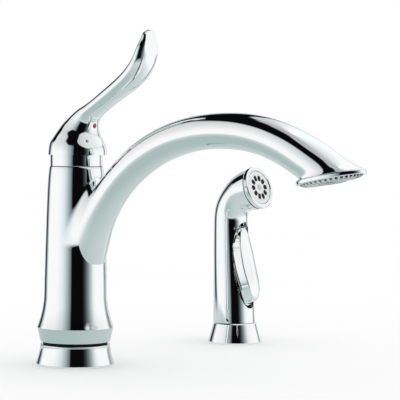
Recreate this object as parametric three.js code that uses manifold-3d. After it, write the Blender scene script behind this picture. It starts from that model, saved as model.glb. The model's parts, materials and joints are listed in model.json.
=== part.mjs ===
// Single-handle kitchen faucet with a side spray, in millimetres, +Z up.
// The origin is on the faucet's axis at the top of the deck, and the spout points along -Y.
// In the side profiles below, `reach` is measured forwards from an axis (along -Y) and z upwards.
import * as THREE from "three";
import Module from "manifold-3d";
import { mergeVertices } from "three/addons/utils/BufferGeometryUtils.js";

const wasm = await Module();
wasm.setup();

// ---------------------------------------------------------------- driving dimensions

const gap = 0.3; // left between two pieces that touch, seal or slide
const through = 1; // how far a cut runs past the face that it opens
const wide = 120; // wider than what a cut takes all of
const facets = { shown: 28, hidden: 20, bore: 12, tube: 20, blade: 20, hole: 6, hexagon: 6 };
const rings = { spout: 20, spoutBore: 12, handle: 21, cavity: 6, wand: 16, waterway: 7, trigger: 12 };
const weld = 0.01; // corners nearer than this become one
const degree = Math.PI / 180;

const deck = { holePitch: 203.2, thickness: 30 };

const base = { footRadius: 29.6, neckRadius: 26.6, height: 14.4, footEdge: 1.4, shelfDepth: 4.4, flare: 1.3 };
const swivel = { inset: 1.4, height: 3.5 };
const gasket = { thickness: 1.5, landWidth: 3.1, width: 5.6 };

const shank = { radius: 16.2, wall: 3.2, length: 58 };
const clampWasher = { rim: 7.5, thickness: 2 };
const clampNut = { wall: 5.2, height: 10 };
const ports = { clearance: 1.35, backAngle: 20.7 };
const supply = { radius: 4.6, wall: 0.9, belowShank: 18, rise: 39 };
const nipple = { radius: 3.8, wall: 1.4, belowShank: 9, rise: 29 };

const column = { radius: 15.4, wall: 2.8, footRadius: 22.2, pocketDepth: 30, belowBody: 3 };
const seal = { section: 2.4, grooveDepth: 1.2, lowerRise: 25.5, upperDrop: 16 };
const bushing = { wall: 2.6, lowerHeight: 12, upperHeight: 3.6, upperDrop: 10.8 };
const divert = { level: 70, radius: 4.9, length: 9, mouthDepth: 3, play: 4 };

const body = {
  bandBottomRadius: 26.3, bandTopRadius: 29, bandHeight: 10.6, bandFlare: 2.1,
  waistRadius: 23.8, waistLevel: 57, bow: 0.15, shoulderRadius: 21.9, shoulderDrop: 21,
  topRadius: 20.4, topRound: 0.5, topRoundDrop: 5, topLevel: 151,
};

const spout = {
  rootReach: 8, rootLevel: 90.5, rootAngle: 61, rootPull: 56, rootRadius: 17, rootShare: 0.5, rootFlare: 1.6,
  apexReach: 144, apexLevel: 179.6, apexPullBack: 75, apexPullAhead: 36, apexRadius: 12.7,
  endReach: 233, endLevel: 149.3, endAngle: 34, endPull: 33, endRadius: 16.3, endShare: 0.5, endFlare: 2.1,
  wall: 2.7,
};
const outlet = { halfLength: 27.5, halfWidth: 17, thickness: 6.4, rise: 1.2, lip: 2.4, recess: 4.4, tilt: 11 };
const plate = { setBack: 0.5 };
const aerator = { radius: 12, wall: 1.7, height: 4.9, ledge: 0.9 };
const screen = {
  thickness: 1, holeRadius: 0.85, rows: [{ count: 5, ringRadius: 3 }, { count: 10, ringRadius: 6.8 }],
};
const regulator = { thickness: 1.4, holeRadius: 1.2, rows: [{ count: 6, ringRadius: 5 }] };

const pivotRise = 5; // the handle's pivot above the body's top
const cartridge = { shoulderDrop: 4.3, neckRadius: 9.7, topDrop: 1.5, rotorRadius: 8, rotorFloorDrop: 16 };
const cartridgeSeal = { thickness: 1.6, portRadius: 3.2 };
const dome = { sphereRadius: 20.2, wall: 1.5, openingRadius: 13.8 };
const rotor = { rise: 2.6, slotDepth: 13, slotClearance: 0.4 };
const stem = { radius: 4, rise: 29.6, paddleHalf: 3, paddleDrop: 10, pinRadius: 1.2, pinInset: 1 };
const hub = { clearance: 0.6, wall: 1.5, skirtRise: 4 };
const setScrew = { radius: 2, length: 6, rise: 26 };
const button = { length: 4.5, face: 18.4 };

const holder = { footRadius: 22.4, footEdge: 1.2, height: 16.9, rimOverhang: 0.4, rimEdge: 0.7 };
const holderShank = { radius: 14.6, wall: 1.9, length: 42, seat: 7.5 };
const holderWasher = { rim: 7.1, thickness: 1.5 };
const holderNut = { wall: 5, height: 7 };

const wand = { wall: 2.8, footRadius: 17.8, cavityRise: 70.8, waterway: 5, headDepth: 9, headBore: 13 };
const connector = { clearance: 0.7, flangeWidth: 1.8, flangeThickness: 3.6, drop: 29.2, bore: 4.4 };
const valve = { radius: 7.8, reach: -5, height: 40, bore: 3.2 };
const plunger = { radius: 2.6, rise: 30.8, length: 16 };
const head = { overhang: 0.6, bezelWidth: 3.8, bezelDepth: 4.2, bezelRound: 1.4, faceDepth: 3, faceInset: 0.6 };
const nozzle = { count: 10, ringRadius: 7.6, radius: 1.25, capRadius: 2.6, capDepth: 1.2 };
const trigger = {
  halfWidth: 11.6, bottomRise: 14.6, topRise: 83.8, squareness: 2.6, depth: 9, crownWidth: 14, crownDepth: 12,
  pinReach: 4.4, pinRise: 79.4, pinRadius: 1.5, pinHalfLength: 9.6, sideClearance: 0.7, footClearance: 2.4,
  swing: 6,
};

// ---------------------------------------------------------------- sizes worked out from them

const shelfLevel = base.height - base.shelfDepth;
const footBottom = shelfLevel + gap;
const footTop = base.height - gap;
const bodyBottom = base.height + swivel.height + 2 * gap;
const bodyBore = column.radius + bushing.wall + 2 * gap;
const clampTop = -deck.thickness;
const columnTop = body.topLevel - column.belowBody;
const pocketFloor = columnTop - column.pocketDepth;
const pocketRadius = column.radius - column.wall;
const bonnetRadius = bodyBore - 2 * gap;
const bonnetBottom = columnTop - bushing.upperDrop + bushing.upperHeight + gap;
const pivotLevel = body.topLevel + pivotRise;
const hubRadius = dome.sphereRadius + hub.clearance + hub.wall;
const holderShankBore = holderShank.radius - holderShank.wall;
const connectorRadius = holderShankBore - connector.clearance;
const connectorFlange = connectorRadius + connector.flangeWidth;
const connectorTop = gap + connector.flangeThickness;
const wandBottom = holder.height + gap;

const shankBore = shank.radius - shank.wall;
const portCircle = shankBore - supply.radius - ports.clearance;
const boreOutlets = [
  { name: "hot", angle: 180 - ports.backAngle },
  { name: "cold", angle: ports.backAngle },
  { name: "mixed", angle: -90 },
].map(({ name, angle }) => ({
  name, x: portCircle * Math.cos(angle * degree), y: portCircle * Math.sin(angle * degree),
}));
const [hotPort, coldPort, mixedPort] = boreOutlets;
const sealLevels = [bodyBottom + seal.lowerRise, columnTop - seal.upperDrop];

// Side profiles, as rings from bottom to top: the lever above its pivot, the wand and its trigger
// above the wand's foot.
const leverRings = [
  { reach: 0.9, rise: 2, width: hubRadius, thickness: hubRadius },
  { reach: 1.4, rise: 9, width: hubRadius - 0.6, thickness: hubRadius - 0.2 },
  { reach: 1.8, rise: 14, width: hubRadius - 2.8, thickness: hubRadius - 2.1 },
  { reach: 2.3, rise: 19, width: 16.7, thickness: 17.3 },
  { reach: 3.8, rise: 23.4, width: 14.8, thickness: 14.2 },
  { reach: 6, rise: 28, width: 13.4, thickness: 10.9 },
  { reach: 10, rise: 32.9, width: 12.2, thickness: 8.1 },
  { reach: 17.6, rise: 38.4, width: 11.1, thickness: 6.5 },
  { reach: 30, rise: 46, width: 10.4, thickness: 6.3 },
  { reach: 43.5, rise: 54.4, width: 11, thickness: 6.7 },
  { reach: 53.5, rise: 61, width: 12, thickness: 7 },
  { reach: 61, rise: 67.8, width: 12.5, thickness: 6.9 },
  { reach: 66.4, rise: 76, width: 12.2, thickness: 6.2 },
  { reach: 69, rise: 84.5, width: 10.6, thickness: 5.1 },
  { reach: 70.2, rise: 91.5, width: 7.6, thickness: 3.9 },
  { reach: 70.6, rise: 95.6, width: 3.6, thickness: 2 },
  { reach: 70.7, rise: 97.2, width: 0.8, thickness: 0.5 },
];
const leafFacet = { reach: 73.4, rise: 84, lean: 5 };

const wandRings = [
  { reach: -0.8, rise: -2.2, width: wand.footRadius },
  { reach: -1.8, rise: 22.8, width: 16.9 },
  { reach: -3, rise: 42.8, width: 16 },
  { reach: -4.3, rise: 62.8, width: 15.1 },
  { reach: -5.3, rise: 82.8, width: 14.2 },
  { reach: -4.2, rise: 93.8, width: 14.2 },
  { reach: 1.6, rise: 103.6, width: 14.7 },
  { reach: 10, rise: 109.8, width: 16.4 },
  { reach: 20.3, rise: 113, width: 17.6 },
];
const bezelRadius = wandRings.at(-1).width + head.overhang;

const triggerFront = [
  [7, 89.8], [9.4, 79.8], [11, 68.8], [13.9, 55.8], [17.4, 42.8], [20.6, 32.8], [22.2, 24.8], [22.3, 18.8],
  [21, 10.8],
];

// ---------------------------------------------------------------- materials

function finish(name, color, roughness, metalness) {
  return new THREE.MeshStandardMaterial({ name, color, roughness, metalness });
}

const chrome = finish("chrome", 0xd6dcdd, 0.08, 1);
const brass = finish("brass", 0xb9974f, 0.35, 1);
const copper = finish("copper", 0xb87346, 0.35, 1);
const steel = finish("steel", 0xaab0b2, 0.3, 1);
const blackPlastic = finish("black_plastic", 0x17191a, 0.5, 0);
const whitePlastic = finish("white_plastic", 0xdfe3e2, 0.4, 0);
const greyPlastic = finish("grey_plastic", 0x8d9696, 0.45, 0);
const rubber = finish("rubber", 0x1d1d1d, 0.85, 0);
const red = finish("red_plastic", 0xa3201c, 0.35, 0);

// ---------------------------------------------------------------- solids and booleans

/** Merges corners that lie within a weld, drops the faces that collapse and turns the rest outwards. */
function closedSkin(geometry, tolerance = weld / 100) {
  const bare = geometry.clone();
  bare.deleteAttribute("normal");
  bare.deleteAttribute("uv");
  const skin = mergeVertices(bare, tolerance);
  const at = skin.attributes.position;
  const index = skin.index.array;
  const corner = (k) => new THREE.Vector3().fromBufferAttribute(at, k);
  const faces = [];
  let volume = 0;
  for (let i = 0; i < index.length; i += 3) {
    const [a, b, c] = index.slice(i, i + 3);
    if (a !== b && b !== c && c !== a) {
      faces.push([a, b, c]);
      volume += corner(a).dot(corner(b).cross(corner(c)));
    }
  }
  skin.setIndex((volume < 0 ? faces.map(([a, b, c]) => [b, a, c]) : faces).flat());
  return skin;
}

function solid(geometry) {
  const skin = closedSkin(geometry);
  return new wasm.Manifold(new wasm.Mesh({
    numProp: 3,
    vertProperties: new Float32Array(skin.attributes.position.array),
    triVerts: new Uint32Array(skin.index.array),
    tolerance: weld,
  }));
}

function geometryOf(manifold) {
  const mesh = manifold.getMesh();
  const geometry = new THREE.BufferGeometry();
  geometry.setAttribute("position", new THREE.BufferAttribute(new Float32Array(mesh.vertProperties), 3));
  geometry.setIndex(new THREE.BufferAttribute(new Uint32Array(mesh.triVerts), 1));
  return closedSkin(geometry, weld);
}

function cut(blank, ...tools) {
  return geometryOf(tools.reduce((rest, tool) => rest.subtract(solid(tool)), solid(blank)));
}

/** A piece of the model: one named mesh. */
function piece(name, geometry, material) {
  const mesh = new THREE.Mesh(geometry.index ? geometry : closedSkin(geometry), material);
  mesh.name = name;
  return mesh;
}

// ---------------------------------------------------------------- forms

/** Turns a closed outline of [radius, z] points about the Z axis. */
function turned(outline, segments = facets.hidden) {
  const points = [...outline, outline[0]].map(([radius, z]) => new THREE.Vector2(radius, z));
  return closedSkin(new THREE.LatheGeometry(points, segments).rotateX(Math.PI / 2));
}

function ring(innerRadius, outerRadius, bottom, top, segments = facets.hidden) {
  return turned([
    [innerRadius, bottom], [outerRadius, bottom], [outerRadius, top], [innerRadius, top],
  ], segments);
}

/** A round bar along Z, or a hexagonal one with six segments. */
function bar(radius, bottom, top, segments = facets.bore) {
  return new THREE.CylinderGeometry(radius, radius, top - bottom, segments)
    .rotateX(Math.PI / 2).translate(0, 0, (bottom + top) / 2);
}

/** A round bar that points forwards, from one reach to another. */
function frontBar(radius, fromReach, toReach, level, segments = facets.bore) {
  return bar(radius, fromReach, toReach, segments).rotateX(Math.PI / 2).translate(0, 0, level);
}

/** A round bar along X, centred on a point of the side profile. */
function crossBar(radius, halfLength, reach, level, segments = facets.bore) {
  return bar(radius, -halfLength, halfLength, segments).rotateY(Math.PI / 2).translate(0, -reach, level);
}

function block(xSize, ySize, zSize) {
  return new THREE.BoxGeometry(xSize, ySize, zSize);
}

/** Everything near the axis that lies below a level, to trim a loft flat. */
function allBelow(level) {
  return block(wide, wide, wide).translate(0, 0, level - wide / 2);
}

/** Skins a row of oval rings, each given by its centre, its side and normal directions and half sizes. */
function loft(rings, segments) {
  const corners = [];
  const faces = [];
  for (const { centre, side, normal, halfWidth, halfThickness } of rings) {
    for (let k = 0; k < segments; k += 1) {
      const angle = (2 * Math.PI * k) / segments;
      const corner = centre.clone()
        .addScaledVector(side, halfWidth * Math.cos(angle))
        .addScaledVector(normal, halfThickness * Math.sin(angle));
      corners.push(corner.x, corner.y, corner.z);
    }
  }
  for (let row = 0; row + 1 < rings.length; row += 1) {
    for (let k = 0; k < segments; k += 1) {
      const a = row * segments + k;
      const b = row * segments + ((k + 1) % segments);
      faces.push(a, b, a + segments, b, b + segments, a + segments);
    }
  }
  const last = (rings.length - 1) * segments;
  for (let k = 1; k + 1 < segments; k += 1) {
    faces.push(0, k + 1, k, last, last + k, last + k + 1);
  }
  const geometry = new THREE.BufferGeometry();
  geometry.setAttribute("position", new THREE.Float32BufferAttribute(corners, 3));
  geometry.setIndex(faces);
  return closedSkin(geometry);
}

/** Rings square to a curve in the side profile. Half sizes are functions of the share of its length. */
function ringsAlong(curve, count, halfWidth, halfThickness = halfWidth) {
  const side = new THREE.Vector3(1, 0, 0);
  return Array.from({ length: count + 1 }, (_, i) => {
    const share = i / count;
    const normal = new THREE.Vector3().crossVectors(curve.getTangent(share), side).normalize();
    return {
      centre: curve.getPoint(share), side, normal,
      halfWidth: halfWidth(share), halfThickness: halfThickness(share),
    };
  });
}

/** The same rings with the last one repeated further on, so that a cut passes right through. */
function runOn(rows, curve, distance) {
  const last = rows.at(-1);
  const centre = last.centre.clone().addScaledVector(curve.getTangent(1), distance);
  return [...rows, { ...last, centre }];
}

/** A smooth curve and smooth half sizes through a list of rings that are set by hand. */
function smoothRings(rows, count) {
  const centres = rows.map((row) => new THREE.Vector3(0, -row.reach, row.rise));
  const sizes = rows.map((row) => new THREE.Vector3(row.width, row.thickness ?? row.width, 0));
  const sizeCurve = new THREE.CatmullRomCurve3(sizes);
  return ringsAlong(new THREE.CatmullRomCurve3(centres), count,
    (share) => sizeCurve.getPoint(share).x, (share) => sizeCurve.getPoint(share).y);
}

/** Extrudes an outline of [reach, z] points by a half width to each side. */
function sideExtrusion(outline, halfWidth) {
  const shape = new THREE.Shape(outline.map(([reach, z]) => new THREE.Vector2(reach, z)));
  const toProfile = new THREE.Matrix4().makeBasis(
    new THREE.Vector3(0, -1, 0), new THREE.Vector3(0, 0, 1), new THREE.Vector3(-1, 0, 0));
  return closedSkin(new THREE.ExtrudeGeometry(shape, { depth: 2 * halfWidth, bevelEnabled: false })
    .translate(0, 0, -halfWidth).applyMatrix4(toProfile));
}

/** Extrudes an outline of [x, z] points forwards, from one reach to another. */
function frontExtrusion(outline, fromReach, toReach) {
  const shape = new THREE.Shape(outline.map(([x, z]) => new THREE.Vector2(x, z)));
  return closedSkin(new THREE.ExtrudeGeometry(shape, { depth: toReach - fromReach, bevelEnabled: false })
    .translate(0, 0, fromReach).rotateX(Math.PI / 2));
}

/** Copies of a piece, evenly spaced on a circle about Z. */
function aroundZ(count, circleRadius, make) {
  return Array.from({ length: count }, (_, k) => {
    const angle = (2 * Math.PI * k) / count;
    return make().translate(circleRadius * Math.cos(angle), circleRadius * Math.sin(angle), 0);
  });
}

/** A leaf outline: a squarish oval between two levels. */
function leafOutline(halfWidth, bottom, top, squareness, points = 28) {
  const middle = (bottom + top) / 2;
  const bend = (value) => Math.sign(value) * Math.abs(value) ** (2 / squareness);
  return Array.from({ length: points }, (_, k) => {
    const angle = (2 * Math.PI * k) / points;
    return [halfWidth * bend(Math.cos(angle)), middle + (top - middle) * bend(Math.sin(angle))];
  });
}

/** A six-sided nut about Z with a round hole and a wall as thick as given across its flats. */
function hexNut(holeRadius, wall, bottom, top) {
  const cornerRadius = (holeRadius + wall) / Math.cos(30 * degree);
  return cut(bar(cornerRadius, bottom, top, facets.hexagon),
    bar(holeRadius, bottom - through, top + through, facets.hidden));
}

/** The gasket groove's radii under a foot, and the gasket that fills it. */
function grooveUnder(footRadius) {
  const outer = footRadius - gasket.landWidth;
  return { outer, inner: outer - gasket.width };
}

function gasketUnder(footRadius) {
  const { outer, inner } = grooveUnder(footRadius);
  return ring(inner + gap, outer - gap, 0, gasket.thickness);
}

// ---------------------------------------------------------------- faucet: deck, column and clamp

function baseFlange() {
  const { outer, inner } = grooveUnder(base.footRadius);
  const boreRadius = shank.radius + gap;
  const shelfRadius = column.footRadius + gap;
  const grooveTop = gasket.thickness + gap;
  const flare = (share) => [
    base.neckRadius + (base.footRadius - base.neckRadius) * (1 - share) ** base.flare,
    base.footEdge + (base.height - base.footEdge) * share,
  ];
  return turned([
    [base.footRadius, 0], ...[0, 0.4, 0.8, 1].map(flare),
    [shelfRadius, base.height], [shelfRadius, shelfLevel], [boreRadius, shelfLevel],
    [boreRadius, 0], [inner, 0], [inner, grooveTop], [outer, grooveTop], [outer, 0],
  ], facets.shown);
}

function valveColumn() {
  const grooveFloor = column.radius - seal.grooveDepth;
  const grooves = sealLevels.flatMap((bottom) => {
    const top = bottom + seal.section + 2 * gap;
    return [[column.radius, bottom], [grooveFloor, bottom], [grooveFloor, top], [column.radius, top]];
  });
  const blank = turned([
    [0, footBottom], [column.footRadius, footBottom], [column.footRadius, footTop],
    [column.radius, footTop], ...grooves, [column.radius, columnTop],
    [pocketRadius, columnTop], [pocketRadius, pocketFloor], [0, pocketFloor],
  ]);
  const waterBores = [hotPort, coldPort].map(({ x, y }) =>
    bar(supply.radius + gap, footBottom - through, pocketFloor + through).translate(x, y, 0));
  const sprayBore = bar(nipple.radius + gap, footBottom - through, divert.level)
    .translate(mixedPort.x, mixedPort.y, 0);
  const mixedBore = bar(nipple.radius, divert.level, pocketFloor + through)
    .translate(mixedPort.x, mixedPort.y, 0);
  const diverterBack = column.radius - divert.mouthDepth - divert.length - divert.play;
  const diverterBore = frontBar(divert.radius + gap, diverterBack, column.radius + through, divert.level);
  return cut(blank, ...waterBores, sprayBore, mixedBore, diverterBore);
}

/** A pipe that hangs from the column, below the shank's end by a given drop. */
function pipe(name, { radius, wall, belowShank, rise }, { x, y }, material) {
  const bottom = -shank.length - belowShank;
  const tube = piece(name, ring(radius - wall, radius, bottom, rise, facets.bore), material);
  tube.position.set(x, y, 0);
  return tube;
}

function deckPieces() {
  const washerBottom = clampTop - clampWasher.thickness;
  const nutTop = washerBottom - gap;
  const hole = shank.radius + gap;
  return [
    piece("base_flange", baseFlange(), chrome),
    piece("base_gasket", gasketUnder(base.footRadius), rubber),
    piece("swivel_ring", ring(column.radius + gap, base.neckRadius - swivel.inset, base.height + gap,
      bodyBottom - gap, facets.shown), blackPlastic),
    piece("valve_column", valveColumn(), brass),
    piece("threaded_shank", ring(shankBore, shank.radius, -shank.length, footBottom - gap), brass),
    piece("deck_washer", ring(hole, hole + clampWasher.rim, washerBottom, clampTop), steel),
    piece("deck_nut", hexNut(hole, clampNut.wall, nutTop - clampNut.height, nutTop), brass),
    pipe("supply_tube_hot", supply, hotPort, copper),
    pipe("supply_tube_cold", supply, coldPort, copper),
    pipe("spray_hose_nipple", nipple, mixedPort, brass),
  ];
}

/** The bushings and seals that the swivelling body runs on, between it and the column. */
function columnRings() {
  const bush = (bottom, height) => ring(column.radius + gap, bodyBore - gap, bottom, bottom + height);
  const [lowerSeal, upperSeal] = sealLevels.map((level) =>
    ring(column.radius - seal.grooveDepth + gap, bodyBore - gap, level + gap, level + gap + seal.section));
  return [
    piece("lower_bushing", bush(bodyBottom, bushing.lowerHeight), whitePlastic),
    piece("lower_seal", lowerSeal, rubber),
    piece("upper_seal", upperSeal, rubber),
    piece("upper_bushing", bush(columnTop - bushing.upperDrop, bushing.upperHeight), whitePlastic),
  ];
}

/** The spool that sends water to the spray: two lands on a thinner stem. */
function diverter() {
  const front = column.radius - divert.mouthDepth;
  const stemRadius = divert.radius / 2;
  const outline = [
    [0, front - divert.length], [divert.radius, front - divert.length],
    [divert.radius, front - 0.6 * divert.length], [stemRadius, front - 0.6 * divert.length],
    [stemRadius, front - 0.3 * divert.length], [divert.radius, front - 0.3 * divert.length],
    [divert.radius, front], [0, front],
  ];
  return turned(outline, facets.bore).rotateX(Math.PI / 2).translate(0, 0, divert.level);
}

// ---------------------------------------------------------------- faucet: cartridge, cap and handle

// From here to the spout, z is measured from the handle's pivot.

const bodyTop = -pivotRise;
const pocketBottom = pocketFloor - pivotLevel;
const rotorFloor = -cartridge.rotorFloorDrop;

function portBars(bottom, top) {
  return boreOutlets.map(({ x, y }) => bar(cartridgeSeal.portRadius, bottom, top).translate(x, y, 0));
}

function cartridgePieces() {
  const sealBottom = pocketBottom + gap;
  const sealTop = sealBottom + cartridgeSeal.thickness;
  const housingBottom = sealTop + gap;
  const radius = pocketRadius - gap;
  const shoulder = -cartridge.shoulderDrop;
  const rotorBore = cartridge.rotorRadius + gap;
  const housing = turned([
    [0, housingBottom], [radius, housingBottom], [radius, shoulder], [cartridge.neckRadius, shoulder],
    [cartridge.neckRadius, -cartridge.topDrop], [rotorBore, -cartridge.topDrop],
    [rotorBore, rotorFloor], [0, rotorFloor],
  ]);
  return [
    piece("cartridge_seal", cut(bar(radius, sealBottom, sealTop, facets.hidden),
      ...portBars(sealBottom - through, sealTop + through)), rubber),
    piece("cartridge_housing", cut(housing, ...portBars(housingBottom - through, rotorFloor + through)),
      whitePlastic),
    piece("bonnet_nut", bonnetNut(shoulder + gap), brass),
    piece("dome_cap", domeCap(), chrome),
  ];
}

/** The nut over the column's top, with a lip that holds the cartridge's shoulder down. */
function bonnetNut(lipBottom) {
  const threadRadius = column.radius + gap;
  const neckHole = cartridge.neckRadius + gap;
  const bottom = bonnetBottom - pivotLevel;
  return turned([
    [threadRadius, bottom], [bonnetRadius, bottom], [bonnetRadius, 0],
    [neckHole, 0], [neckHole, lipBottom], [threadRadius, lipBottom],
  ]);
}

/** The cap under the handle: a spherical shell about the pivot, on a straight skirt. */
function domeCap() {
  const arc = (radius, from, to, steps) => Array.from({ length: steps + 1 }, (_, i) => {
    const angle = from + ((to - from) * i) / steps;
    return [radius * Math.cos(angle), radius * Math.sin(angle)];
  });
  const innerRadius = dome.sphereRadius - dome.wall;
  const skirtRadius = bonnetRadius + gap;
  const bottom = bodyTop + gap;
  const outer = arc(dome.sphereRadius, Math.asin(hub.skirtRise / dome.sphereRadius),
    Math.acos(dome.openingRadius / dome.sphereRadius), 3);
  const inner = arc(innerRadius, Math.acos(dome.openingRadius / innerRadius),
    Math.acos(skirtRadius / innerRadius), 3);
  return turned([[outer[0][0], bottom], ...outer, ...inner, [skirtRadius, bottom]], facets.shown);
}

function cartridgeRotor() {
  const blank = bar(cartridge.rotorRadius, rotorFloor + gap, rotor.rise, facets.hidden);
  const slotHeight = rotor.rise + rotor.slotDepth + through;
  const slot = block(2 * (stem.paddleHalf + rotor.slotClearance), 4 * cartridge.rotorRadius, slotHeight)
    .translate(0, 0, slotHeight / 2 - rotor.slotDepth);
  return cut(blank, slot, pinHole(cartridge.rotorRadius));
}

/** The hole for the pin that the stem rocks on, through a piece of the given half width. */
function pinHole(halfWidth) {
  return crossBar(stem.pinRadius + gap, halfWidth + through, 0, 0);
}

function leverStem() {
  const paddleTop = 2 * stem.paddleHalf;
  const paddle = block(2 * stem.paddleHalf, 2 * stem.paddleHalf, paddleTop + stem.paddleDrop)
    .translate(0, 0, (paddleTop - stem.paddleDrop) / 2);
  const rod = bar(stem.radius, paddleTop - through, stem.rise);
  return geometryOf(solid(paddle).add(solid(rod)).subtract(solid(pinHole(stem.radius))));
}

/** The handle: a domed hub that sweeps into a lever, hollow over the cap, with a leaf facet at its tip. */
function handleShell() {
  const blank = loft(smoothRings(leverRings, rings.handle), facets.blade);
  const cavityRadius = dome.sphereRadius + hub.clearance;
  const cavity = turned([[0, 0], ...Array.from({ length: rings.cavity + 1 }, (_, i) => {
    const angle = (Math.PI / 2) * (i / rings.cavity);
    return [cavityRadius * Math.cos(angle), cavityRadius * Math.sin(angle)];
  })], facets.shown);
  const stemBore = bar(stem.radius + gap, 0, stem.rise + gap);
  const screwBore = frontBar(setScrew.radius + gap, 0, leafFacet.reach, setScrew.rise);
  const facet = allBelow(0).rotateX((leafFacet.lean - 90) * degree)
    .translate(0, -leafFacet.reach, leafFacet.rise);
  return cut(blank, allBelow(hub.skirtRise), cavity, stemBore, screwBore, facet);
}

function handlePieces() {
  const screwStart = stem.radius + gap;
  return [
    piece("cartridge_rotor", cartridgeRotor(), whitePlastic),
    piece("stem_pin", crossBar(stem.pinRadius, cartridge.rotorRadius - stem.pinInset, 0, 0), steel),
    piece("lever_stem", leverStem(), brass),
    piece("handle", handleShell(), chrome),
    piece("handle_set_screw", frontBar(setScrew.radius, screwStart, screwStart + setScrew.length,
      setScrew.rise), steel),
    piece("temperature_button", frontBar(setScrew.radius, button.face - button.length, button.face,
      setScrew.rise), red),
  ];
}

// ---------------------------------------------------------------- faucet: spout and outlet

/** The body's outside, from the tapered band up over the waist to the shoulder. */
function bodyOutline() {
  const bandTop = bodyBottom + body.bandHeight;
  const shoulderLevel = body.topLevel - body.shoulderDrop;
  const flare = [0, 0.15, 0.35, 0.6, 0.8, 1].map((share) => [
    body.waistRadius + (body.bandTopRadius - body.waistRadius) * (1 - share) ** body.bandFlare,
    bandTop + (body.waistLevel - bandTop) * share,
  ]);
  return [
    [body.bandBottomRadius, bodyBottom], ...flare,
    [(body.waistRadius + body.shoulderRadius) / 2 + body.bow, (body.waistLevel + shoulderLevel) / 2],
    [body.shoulderRadius, shoulderLevel],
    [body.topRadius + body.topRound, body.topLevel - body.topRoundDrop],
    [body.topRadius, body.topLevel],
  ];
}

function spoutPath() {
  const at = (reach, z) => new THREE.Vector3(0, -reach, z);
  const rootAngle = spout.rootAngle * degree;
  const endAngle = spout.endAngle * degree;
  const path = new THREE.CurvePath();
  path.add(new THREE.CubicBezierCurve3(
    at(spout.rootReach, spout.rootLevel),
    at(spout.rootReach + spout.rootPull * Math.cos(rootAngle),
      spout.rootLevel + spout.rootPull * Math.sin(rootAngle)),
    at(spout.apexReach - spout.apexPullBack, spout.apexLevel),
    at(spout.apexReach, spout.apexLevel)));
  path.add(new THREE.CubicBezierCurve3(
    at(spout.apexReach, spout.apexLevel),
    at(spout.apexReach + spout.apexPullAhead, spout.apexLevel),
    at(spout.endReach - spout.endPull * Math.cos(endAngle),
      spout.endLevel + spout.endPull * Math.sin(endAngle)),
    at(spout.endReach, spout.endLevel)));
  return path;
}

/** The tube's outer radius: full at the root, slim over the arc, fuller again at the outlet. */
function tubeRadius(share) {
  const fromRoot = Math.max(0, 1 - share / spout.rootShare);
  const toEnd = Math.max(0, (share - spout.endShare) / (1 - spout.endShare));
  return spout.apexRadius + (spout.rootRadius - spout.apexRadius) * fromRoot ** spout.rootFlare
    + (spout.endRadius - spout.apexRadius) * toEnd ** spout.endFlare;
}

/** Places something made about Z on the outlet's tilted plane. */
function onOutlet(geometry) {
  return geometry.rotateX(-outlet.tilt * degree).translate(0, -spout.endReach, spout.endLevel);
}

function oval(halfLength, halfWidth, bottom, top) {
  return bar(1, bottom, top, facets.shown).scale(halfWidth, halfLength, 1);
}

const outletBottom = outlet.rise - outlet.thickness;

function spoutShell() {
  const path = spoutPath();
  const outline = bodyOutline();
  const shell = solid(turned([...outline, [0, body.topLevel], [0, bodyBottom]], facets.shown));
  const tubeRings = ringsAlong(path, rings.spout, tubeRadius);
  const tube = solid(loft(runOn(tubeRings, path, outlet.thickness), facets.tube));
  const below = solid(onOutlet(allBelow(0)));
  const rim = solid(onOutlet(oval(outlet.halfLength, outlet.halfWidth, outletBottom, outlet.rise)));
  const recess = solid(onOutlet(oval(outlet.halfLength - outlet.lip, outlet.halfWidth - outlet.lip,
    outletBottom - through, outletBottom + outlet.recess)));
  const boreRings = ringsAlong(path, rings.spoutBore, (share) => tubeRadius(share) - spout.wall);
  const waterway = solid(loft(runOn(boreRings, path, outlet.thickness), facets.bore));
  const bore = solid(bar(bodyBore, bodyBottom - through, body.topLevel + through, facets.shown));
  const whole = shell.add(tube.subtract(below)).add(rim);
  return geometryOf(whole.subtract(bore).subtract(waterway).subtract(recess));
}

/** A disc about Z with rings of holes, as a screen or a flow regulator has. */
function holedDisc(radius, bottom, { thickness, holeRadius, rows }) {
  const top = bottom + thickness;
  const holes = rows.flatMap(({ count, ringRadius }) => aroundZ(count, ringRadius,
    () => bar(holeRadius, bottom - through, top + through, facets.hole)));
  return cut(bar(radius, bottom, top, facets.hidden), ...holes);
}

function outletPieces() {
  const plateTop = outletBottom + outlet.recess - gap;
  const plateInset = outlet.lip + gap;
  const insertTop = plateTop - gap;
  const housingBottom = insertTop - aerator.height;
  const insertRadius = aerator.radius - aerator.wall - gap;
  const lipRadius = insertRadius - aerator.ledge;
  const lipTop = housingBottom + aerator.ledge;
  const platePiece = cut(
    oval(outlet.halfLength - plateInset, outlet.halfWidth - plateInset, outletBottom + plate.setBack, plateTop),
    bar(aerator.radius + gap, outletBottom - through, plateTop + through, facets.hidden));
  const housing = turned([
    [lipRadius, housingBottom], [aerator.radius, housingBottom], [aerator.radius, insertTop],
    [insertRadius + gap, insertTop], [insertRadius + gap, lipTop], [lipRadius, lipTop],
  ]);
  const screenBottom = lipTop + gap;
  const regulatorBottom = screenBottom + screen.thickness + gap;
  return [
    piece("outlet_plate", onOutlet(platePiece), greyPlastic),
    piece("aerator_housing", onOutlet(housing), chrome),
    piece("aerator_screen", onOutlet(holedDisc(insertRadius, screenBottom, screen)), steel),
    piece("flow_regulator", onOutlet(holedDisc(insertRadius, regulatorBottom, regulator)), whitePlastic),
  ];
}

// ---------------------------------------------------------------- side spray: holder

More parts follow.
